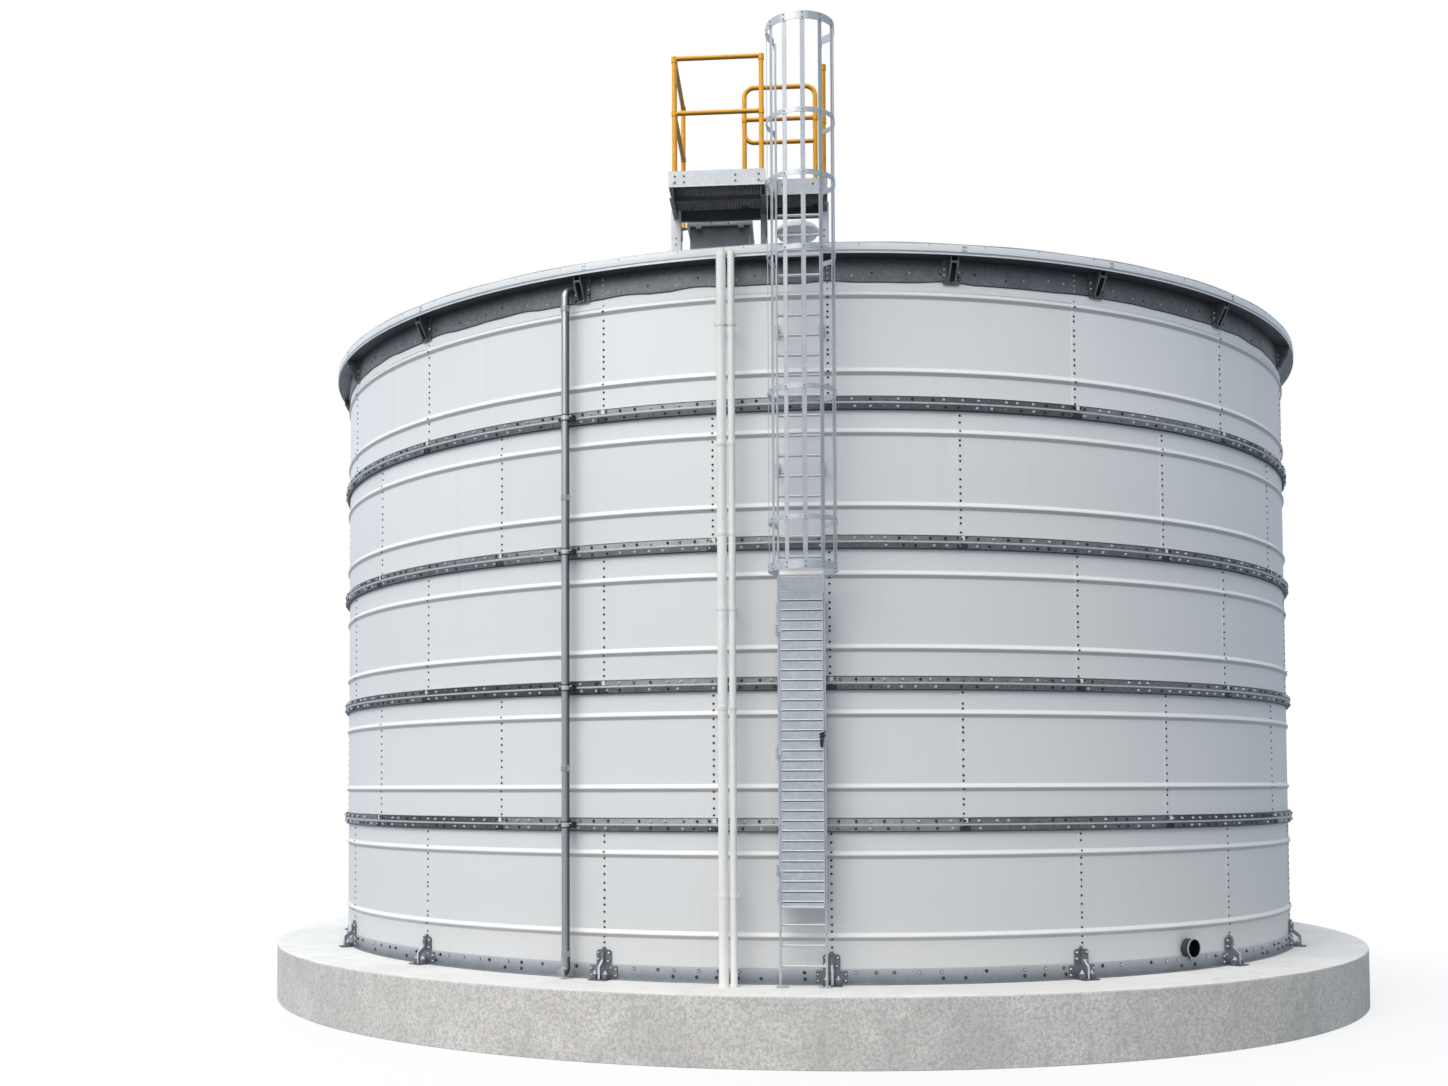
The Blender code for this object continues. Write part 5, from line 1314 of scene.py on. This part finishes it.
def build_pipes():
    """White pipes: a round section carried up the wall and round a quarter bend to the eave."""
    for name, x, radius in PIPES:
        eave = -math.sqrt(FASCIA_RADIUS ** 2 - (abs(x) - radius) ** 2) - 0.001
        wall = -math.sqrt(SHELL_RADIUS ** 2 - x ** 2) - 0.001
        crown = above(PIPE_TOP + PIPE_BEND)
        bend = quarter((x, PIPE_Y, crown), Z_AXIS, Y_AXIS, PIPE_BEND)
        path = np.vstack([(x, PIPE_Y, above(0.001)), bend, (x, max(eave, bend[-1][1] + 0.002), crown)])
        shape = Shape()
        shape.add(sweep(path, circle(radius, PIPE_STEPS), upright=X_AXIS))
        flange = turned([(radius + 0.006, 0.0006), (radius + 0.006, 0.012), (radius + 0.002, 0.016),
                         (radius + 0.001, 0.030)])
        joint = collar(radius + 0.001, radius + 0.0032, 0.028, 0.004)
        saddle = collar(radius + 0.001, radius + 0.006, 0.022, 0.002)
        for fitting, heights in ((flange, (0.0,)), (joint, PIPE_JOINTS), (saddle, PIPE_CLIPS)):
            shape.scatter(fitting, [(x, PIPE_Y, above(height)) for height in heights])
        for level in map(above, PIPE_CLIPS):
            shape.add(slab((x - 0.012, PIPE_Y + radius * 0.5, level - 0.02), (x + 0.012, wall, level + 0.02)))
            for side in (-1, 1):
                left, right = sorted((x + side * radius, x + side * (radius + 0.022)))
                shape.add(slab((left, PIPE_Y - 0.008, level - 0.018), (right, PIPE_Y + 0.008, level + 0.018)))
                spot = (x + side * (radius + 0.012), PIPE_Y - 0.012, level)
                shape.scatter(bolt(0.0065, 0.010, 0.009), [spot], FACING_FRONT, 0.1)
        store(name + "_run", shape, "pipe_white", [name])


def build_downpipe():
    """Grey downpipe with its sockets, clamps at the rings and an arched shoe over the plinth."""
    side, up, out = facing = radial(DOWNPIPE_ANGLE)
    along = (side, out, up)
    line = out * DOWNPIPE_OUT
    r, crown = DOWNPIPE_RADIUS, above(DOWNPIPE_TOP + DOWNPIPE_BEND)
    turn = np.arange(PIPE_STEPS) * 2 * np.pi / PIPE_STEPS
    # Tones round the pipe: pale where it faces out and in, dark down both flanks and a little darker on one:
    # painted highlight and painted shade.
    painted_flank_shading = np.clip(0.62 - 0.55 * np.abs(np.sin(turn)) ** 3 - 0.12 * np.sin(turn), 0.1, 0.62)
    path = np.vstack([line + up * above(0.21), quarter(line + up * crown, up, -out, DOWNPIPE_BEND),
                      out * (SHELL_RADIUS + 0.0145) + up * crown])
    shape = Shape()
    shape.add(sweep(path, circle(r, PIPE_STEPS), upright=side), painted_flank_shading)
    low = line + up * above(0.062)
    shoe = np.vstack([line + up * above(0.25), line + up * above(0.16), quarter(low, -up, out, 0.055, 7),
                      low + out * 0.088])
    shape.add(sweep(shoe, circle(r + 0.006, PIPE_STEPS), upright=side), painted_flank_shading)
    socket = collar(r + 0.002, r + 0.008, 0.03, 0.004)
    shape.scatter(socket, [line + up * above(height) for height in DOWNPIPE_SOCKETS], along)
    clamps = np.array([line + up * above(joint) for joint in JOINTS])
    shape.scatter(collar(r + 0.001, r + 0.005, 0.02, 0.002), clamps, along, 1.0)
    for rise in (-0.032, 0.030):
        shape.scatter(collar(r + 0.001, r + 0.003, 0.005, 0.001), clamps + up * rise, along, 0.0)
    shape.scatter(slab((-0.02, -0.02, -0.085), (0.02, 0.02, -0.03), 0.003), clamps, facing, 0.2)
    for across in (-1, 1):
        ears = clamps + side * across * (r + 0.022)
        shape.scatter(slab((-0.020, -0.030, -0.075), (0.020, 0.030, 0.006), 0.003), ears, facing, 0.0)
        shape.scatter(bolt(0.009, 0.012, 0.011), ears + up * 0.014 + out * 0.006, facing, 0.9)
    store("downpipe_run", shape, "pipe_grey", ["downpipe"])


def build_nozzle():
    """Wide outlet turned about its own axis: pad, drum, bright rim, and a dark mouth over a narrower bore."""
    profile = [(0.001, 0.0005, 0.0), (0.078, 0.0005, 0.4), (0.078, 0.0138, 0.4), (0.098, 0.0140, 0.5),
               (0.100, 0.016, 0.5), (0.100, 0.094, 0.5), (0.1025, 0.096, 0.6), (0.104, 0.099, 0.9),
               (0.104, 0.1095, 1.0), (0.1025, 0.1112, 1.0), (0.0945, 0.1112, 1.0), (0.092, 0.109, 0.3),
               (0.092, 0.098, 0.0), (0.092, 0.030, 0.0), (0.049, 0.029, 0.0), (0.049, 0.004, 0.0),
               (0.001, 0.004, 0.0)]
    steps = 64
    side, up, out = radial(NOZZLE_ANGLE)
    points, faces = turned([(radius, level) for radius, level, _ in profile], steps)
    placed = out * SHELL_RADIUS + up * above(NOZZLE_HEIGHT) + points @ np.stack([side, up, out])
    shape = Shape()
    shape.add((placed, faces), np.repeat([tone for _, _, tone in profile], steps))
    store("outlet_flange_neck", shape, "iron_dark", ["outlet_nozzle"])


def build_platform():
    """Channel frame on its legs, with an open grating on it."""
    wide, deep = BEAM
    top = above(FLOOR - GRATING)
    middle, rear = top - deep / 2, DECK_REAR - wide / 2
    left, corner, right = DECK_LEFT + wide / 2, DECK_CORNER - wide / 2, DECK_RIGHT - wide / 2
    shape = Shape()
    # The channels are toned near black and the plate under the deck black: painted shade under the deck, on a
    # frame of light zinc.
    for x, near, far, hand in ((left, DECK_FRONT, STRINGER_REAR, -1), (corner, DECK_FRONT, STRINGER_REAR, 1),
                               (right, DECK_BEHIND_LADDER, DECK_REAR, 1)):
        shape.add(sweep([(x, near, middle), (x, far, middle)], channel(wide, deep) * (hand, 1)), 0.06)
    cross = [(left + wide / 2, rear, middle), (right - wide / 2, rear, middle)]
    shape.add(sweep(cross, channel(wide, deep)), 0.04)
    shape.add(slab((left, -6.43, top - 0.05), (corner, -6.39, top - 0.002)), 0.0)
    for leg in LEGS:
        platform_leg(shape, top - 0.02, *leg)
    store("platform_beams", shape, "galvanised_light", ["platform_frame"])
    platform_bars()


def platform_leg(shape, top, x, y, width, depth, tone, flange):
    """Leg on a bolted foot. A flat one has a flange behind it, which starts at an offset across."""
    foot, half = roof_seat(x, y - 0.05) + 0.004, width / 2
    shape.add(slab((x - half, y - depth / 2, foot), (x + half, y + depth / 2, top), 0.003), tone)
    if flange is not None:
        shape.add(slab((x + flange, y, foot), (x + flange + depth, y + 0.06, top), 0.003), 0.4)
        spots = [(x, y - depth / 2, foot + rise) for rise in (0.10, 0.16)]
        shape.scatter(bolt(0.008, 0.008, 0.011), spots, FACING_FRONT, 0.2)
    reach = half + 0.03
    shape.add(slab((x - reach, y - 0.055, foot - 0.004), (x + reach, y + 0.055, foot + 0.008)), 0.3)
    spots = [(x + side * (half + 0.015), y - 0.035, foot + 0.008) for side in (-1, 1)]
    shape.scatter(hex_nut(0.010, 0.010, 0.014, 0.006, 0.018), spots, tones=0.3)


def platform_bars():
    """Open grating: bars from front to back, lower ones across them, and a bar along both ends."""
    top = above(FLOOR)
    shape = Shape()
    for x0, x1, y0, y1 in ((DECK_LEFT, DECK_CORNER, DECK_FRONT, DECK_REAR),
                           (DECK_CORNER, DECK_RIGHT, DECK_BEHIND_LADDER, DECK_REAR)):
        for x in np.arange(x0 + 0.004, x1 - 0.003, GRATING_PITCH):
            shape.add(slab((x - 0.002, y0 + 0.002, top - 0.028), (x + 0.002, y1 - 0.002, top), 0.0004))
        for y in np.arange(y0 + 0.03, y1 - 0.01, GRATING_PITCH):
            shape.add(slab((x0 + 0.001, y - 0.002, top - 0.027), (x1 - 0.001, y + 0.002, top - 0.002),
                           0.0004))
        for y in (y0 + 0.003, y1 - 0.003):
            shape.add(slab((x0 + 0.001, y - 0.0025, top - 0.0295), (x1 - 0.001, y + 0.0025, top), 0.0006))
    store("platform_bars", shape, "grating_dark", ["platform_grating"])


def build_kick_plates():
    """Toe board: a sheet with a folded lip carried round the deck, with bolts in pairs."""
    out = GAP + 0.003
    left, corner, right = DECK_LEFT - out, DECK_CORNER + out, DECK_RIGHT + out
    front, behind = DECK_FRONT - out, DECK_BEHIND_LADDER - out
    plan = [(left, DECK_REAR), (left, front), (corner, front), (corner, behind), (right, behind),
            (right, DECK_REAR)]
    low, high = above(FLOOR - GRATING), above(KICK_TOP)
    sheet, half = 0.003, (high - low) / 2
    outline = np.array([(-sheet, -half), (sheet, -half), (sheet, half - 0.003), (0.0, half),
                        (-sheet, half - 0.002)])
    shape = Shape()
    shape.add(sweep([(x, y, (low + high) / 2) for x, y in plan], outline))
    shape.add(slab((left + 0.003, front - 0.0035, low + 0.001), (corner - 0.003, front - 0.002, low + 0.012),
                   0.0004), 0.7)
    pair = (low + 0.045, low + 0.105)
    spots = [(x, front - sheet, z) for x in (-1.255, -1.165, -0.66, -0.43) for z in pair]
    spots += [(x, behind - sheet, low + 0.10) for x in (-0.20, 0.10)]
    head = bolt(0.009, 0.008, 0.012)
    shape.scatter(head, spots, FACING_FRONT, 0.1)
    spots = [(left - sheet, y, z) for y in (-6.5, -6.15) for z in pair]
    shape.scatter(head, spots, (-Y_AXIS, Z_AXIS, -X_AXIS), 0.1)
    store("kick_sheet", shape, "galvanised_light", ["kick_plates"])


def tube_fittings(shape, spots):
    """Short barrels round a post, where other rails meet it."""
    shape.scatter(collar(RAIL_RADIUS, RAIL_RADIUS + 0.005, 0.032, 0.004, RAIL_STEPS), spots)


def fence(name, start, end, feet, node):
    """Straight guard rail: posts with domed ends on bolted feet, level bars and tube fittings."""
    r, top = RAIL_RADIUS, above(RAIL_TOP)
    dome = [(r * math.cos(turn), top + r * math.sin(turn)) for turn in np.linspace(0.1, 1.5, 5)]
    shape = Shape()
    for (x, y), foot in zip((start, end), feet):
        profile = [(r + 0.022, foot), (r + 0.022, foot + 0.007), (r, foot + 0.008), (r, top)] + dome
        shape.scatter(turned(profile, RAIL_STEPS * 2), [(x, y, 0.0)])
        tube_fittings(shape, [(x, y, above(height)) for height in (RAIL_MID, RAIL_TOP - 0.012)])
        spots = [(x + side * (r + 0.012), y, foot + 0.007) for side in (-1, 1)]
        shape.scatter(bolt(0.006, 0.006, 0.009), spots)
    for height in (RAIL_MID, RAIL_TOP):
        shape.add(rod((*start, above(height)), (*end, above(height)), r - 0.0015, RAIL_STEPS * 2))
    store(name, shape, "rail_yellow", [node])


def build_rails():
    """Guard rails of round tube: front, left and right fences and the rounded loop at the rear."""
    r, fine = RAIL_RADIUS, RAIL_STEPS * 2
    floor, stringer = above(FLOOR) + GAP, above(FLOOR - GRATING) + GAP
    left_x, right_x = DECK_LEFT + 0.05, DECK_RIGHT - 0.03
    front_y, rear_y = DECK_FRONT + r + 0.01, DECK_REAR - 0.06
    near_y, behind_y = front_y + 2 * r + 0.002, DECK_BEHIND_LADDER + r + 0.012
    fence("front_rail_tubes", (left_x, front_y), (DECK_CORNER - 0.03, front_y), (floor, floor), "front_rail")
    fence("left_rail_tubes", (left_x, near_y), (left_x, STRINGER_REAR - 0.05), (floor, stringer), "left_rail")
    fence("right_rail_tubes", (right_x, behind_y), (right_x, rear_y), (floor, floor), "right_rail")
    a, b = LOOP
    low, bar, top = above(LOOP_BARS[0]), above(LOOP_BARS[1]), above(LOOP_TOP)
    path = np.vstack([(a, rear_y, floor), quarter((a, rear_y, top), Z_AXIS, X_AXIS, LOOP_BEND),
                      quarter((b, rear_y, top), X_AXIS, -Z_AXIS, LOOP_BEND), (b, rear_y, floor)])
    lower = np.vstack([(a + 0.001, rear_y, low + 0.2),
                       quarter((a + 0.001, rear_y, low), -Z_AXIS, X_AXIS, LOOP_BEND), (b, rear_y, low)])
    shape = Shape()
    shape.add(sweep(path, circle(r, fine), upright=Y_AXIS))
    shape.add(sweep(lower, circle(r - 0.002, fine), upright=Y_AXIS))
    shape.add(rod((a, rear_y, bar), (b, rear_y, bar), r - 0.0015, fine))
    tube_fittings(shape, [(x, rear_y, bar) for x in LOOP])
    base = turned([(r + 0.022, floor), (r + 0.022, floor + 0.007), (r, floor + 0.009)], fine)
    shape.scatter(base, [(x, rear_y, 0.0) for x in LOOP])
    store("rear_rail_loop", shape, "rail_yellow", ["rear_rail"])


def dress_nodes():
    """Give every CAD node that still shows the finish of its slot."""
    slots = {row["node"]: row["material_slot"] for row in frame["record"]["subparts"]}
    for name, node in frame["nodes"].items():
        if not node.hide_render:
            node.data.materials.clear()
            node.data.materials.append(looks[slots[name]])


def build_floor():
    """Plain white floor that takes the tank's soft shadow and fades into the background further out.

    The fade runs with the distance from the axis. The floor throws no light back, because the sky's lower
    half already stands for it.
    """
    finish = Finish("studio_floor", roughness=0.9)
    finish.set(Base_Color=(0.88, 0.88, 0.88))
    distance = finish.node("ShaderNodeVectorMath", {0: finish.stretched((1.0, 1.0, 0.0))},
                           {"operation": "LENGTH"}, output="Value")
    glow = finish.node("ShaderNodeEmission", {"Color": (1.0, 1.0, 1.0)})
    floor_shader = finish.node("ShaderNodeMixShader", {0: 0.7 + 0.3 * finish.between(distance, 7.2, 11.0),
                                                       1: Value(finish, finish.shader.outputs[0]), 2: glow})
    finish.feed(finish.tree.nodes["Material Output"].inputs["Surface"], floor_shader)
    mesh = bpy.data.meshes.new("studio_floor")
    reach = 150.0
    mesh.from_pydata([(-reach, -reach, 0), (reach, -reach, 0), (reach, reach, 0), (-reach, reach, 0)], [],
                     [(0, 1, 2, 3)])
    mesh.materials.append(finish.material)
    floor = bpy.data.objects.new("studio_floor", mesh)
    floor.visible_diffuse = False
    floor.visible_glossy = False
    bpy.context.scene.collection.objects.link(floor)


def build_world(light):
    """Studio surroundings: a cool even sky, brighter towards the left and above, and one broad soft box.

    Strength at a direction = even + left * share + height * (overhead + overhead left * share) + below, where
    it looks down, + rear * depth. The share falls smoothly from left to right. The box is a disc of even
    strength with a soft rim, added on top. The camera itself sees plain white.
    """
    world = bpy.data.worlds.new("studio")
    world.use_nodes = True
    sky = Nodes(world.node_tree)
    place = sky.node("ShaderNodeTexCoord", output="Generated")
    x, y, z = (sky.node("ShaderNodeSeparateXYZ", {0: place}, output=name) for name in "XYZ")
    left = 1.0 - sky.between(x, -0.75, 0.85)
    above_level = sky.node("ShaderNodeMath", {0: z, 1: 0.0}, {"operation": "MAXIMUM"})
    even = light.even + light.left * left + above_level * (light.overhead + light.overhead_left * left)
    even = even + light.rear * sky.between(y, 0.1, 0.9) + light.below * (1.0 - sky.between(z, -0.1, 0.0))
    turn, lift = light.box_turn, light.box_height
    aim = (math.sin(turn) * math.cos(lift), -math.cos(turn) * math.cos(lift), math.sin(lift))
    near = sky.node("ShaderNodeVectorMath", {0: place, 1: aim}, {"operation": "DOT_PRODUCT"}, output="Value")
    rim, half = math.radians(4.0), light.box_size / 2
    box = sky.between(near, math.cos(half + rim), math.cos(half - rim)) * light.box
    colour = sky.sum(sky.tint(tuple(light.sky_colour), even), sky.tint(tuple(light.box_colour), box))
    camera_ray = sky.node("ShaderNodeLightPath", output="Is Camera Ray")
    background = world.node_tree.nodes["Background"]
    sky.feed(background.inputs["Color"], sky.mix(camera_ray, colour, (1.0, 1.0, 1.0)))
    bpy.context.scene.world = world


def build_camera():
    """Camera at the photograph's view, placed by yaw, pitch and roll about its own axes."""
    data = bpy.data.cameras.new("camera")
    data.sensor_width = 36.0
    data.lens = CAMERA_LENS
    data.shift_x, data.shift_y = CAMERA_SHIFT
    data.clip_end = 500.0
    camera = bpy.data.objects.new("camera", data)
    level = math.cos(CAMERA_PITCH)
    across = Vector((math.cos(CAMERA_YAW), -math.sin(CAMERA_YAW), 0.0))
    forward = Vector((math.sin(CAMERA_YAW) * level, math.cos(CAMERA_YAW) * level, math.sin(CAMERA_PITCH)))
    up = across.cross(forward)
    rolled_across = across * math.cos(CAMERA_ROLL) + up * math.sin(CAMERA_ROLL)
    rolled_up = up * math.cos(CAMERA_ROLL) - across * math.sin(CAMERA_ROLL)
    matrix = camera.matrix_world.copy()
    for row in range(3):
        matrix[row] = (rolled_across[row], rolled_up[row], -forward[row], CAMERA_PLACE[row])
    camera.matrix_world = matrix
    bpy.context.scene.collection.objects.link(camera)
    bpy.context.scene.camera = camera


def build_stage(light):
    """Floor, surroundings and camera, with colours shown as they are."""
    build_floor()
    build_world(light)
    build_camera()
    bpy.context.scene.view_settings.view_transform = "Standard"


def tank_operator(idname, label, words, build, settings=None):
    """Operator class that runs one build function, with a group of the scene's settings if it takes one."""

    def execute(self, context):
        given = [getattr(context.scene, settings)] if settings else []
        build(*given)
        return {"FINISHED"}

    return type("TANK_OT_" + idname, (bpy.types.Operator,), {
        "__doc__": words, "bl_idname": "water_tank." + idname, "bl_label": label,
        "bl_options": {"REGISTER", "UNDO"}, "execute": execute})


STEPS = [tank_operator(*row) for row in (
    ("looks", "Finishes", "Make the finishes from the scene's colours", make_looks, "tank_colours"),
    ("plinth", "Plinth", "Cast concrete plinth with a worn rim", build_plinth, "tank_sizes"),
    ("shell", "Shell sheets", "Lapped and beaded sheets of the five courses", build_shell, "tank_sizes"),
    ("seam_bolts", "Seam bolts", "Bolts down every sheet seam", build_seam_bolts, "tank_sizes"),
    ("rings", "Stiffener rings", "Bolted rings over the joints between courses", build_rings, "tank_sizes"),
    ("base", "Base angle", "Base angle and hold-down brackets", build_base),
    ("eave", "Eave", "Fascia, soffit, brackets and skirt", build_eave, "tank_sizes"),
    ("roof", "Roof", "Panelled roof with ribs", build_roof),
    ("roof_items", "Hatch, cowl and cap", "Small things that stand on the roof", build_roof_items),
    ("ladder", "Ladder", "Stiles, rungs, stays and feet", build_ladder),
    ("cage", "Ladder cage", "Hoops and straps", build_cage),
    ("guard", "Ladder guard", "Hinged guard plate and its padlock", build_guard),
    ("pipes", "White pipes", "The two white pipes beside the ladder", build_pipes),
    ("downpipe", "Downpipe", "Grey rainwater pipe", build_downpipe),
    ("nozzle", "Outlet nozzle", "Wide outlet low on the shell", build_nozzle),
    ("platform", "Platform", "Frame, legs and grating", build_platform),
    ("kick_plates", "Kick plates", "Toe board round the deck", build_kick_plates),
    ("rails", "Guard rails", "Yellow guard rails", build_rails),
    ("dress", "Dress remaining parts", "Give finishes to the frame's parts that still show", dress_nodes),
    ("stage", "Stage", "Floor, soft light and the photograph's camera", build_stage, "tank_light"))]


class TANK_PT_panel(bpy.types.Panel):
    """Lists the steps that finish the tank"""

    bl_idname = "TANK_PT_panel"
    bl_label = "Water Tank"
    bl_space_type = "VIEW_3D"
    bl_region_type = "UI"
    bl_category = "Water Tank"

    def draw(self, context):
        for step in STEPS:
            self.layout.operator(step.bl_idname)


CLASSES = [TankSizes, TankColours, TankLight] + STEPS + [TANK_PT_panel]


def register():
    """Register the classes and hang the groups of settings on the scene."""
    for item in CLASSES:
        bpy.utils.register_class(item)
    bpy.types.Scene.tank_sizes = bpy.props.PointerProperty(type=TankSizes)
    bpy.types.Scene.tank_colours = bpy.props.PointerProperty(type=TankColours)
    bpy.types.Scene.tank_light = bpy.props.PointerProperty(type=TankLight)


def unregister():
    """Remove the settings and the classes."""
    del bpy.types.Scene.tank_light
    del bpy.types.Scene.tank_colours
    del bpy.types.Scene.tank_sizes
    for item in reversed(CLASSES):
        bpy.utils.unregister_class(item)


def main():
    """Clear what the file opened with, run every step and note both boxes."""
    for item in [thing for thing in bpy.context.scene.objects if thing.type in {"CAMERA", "LIGHT"}]:
        bpy.data.objects.remove(item)
    register()
    for step in STEPS:
        group, name = step.bl_idname.split(".")
        getattr(getattr(bpy.ops, group), name)()


if __name__ == "__main__":
    main()
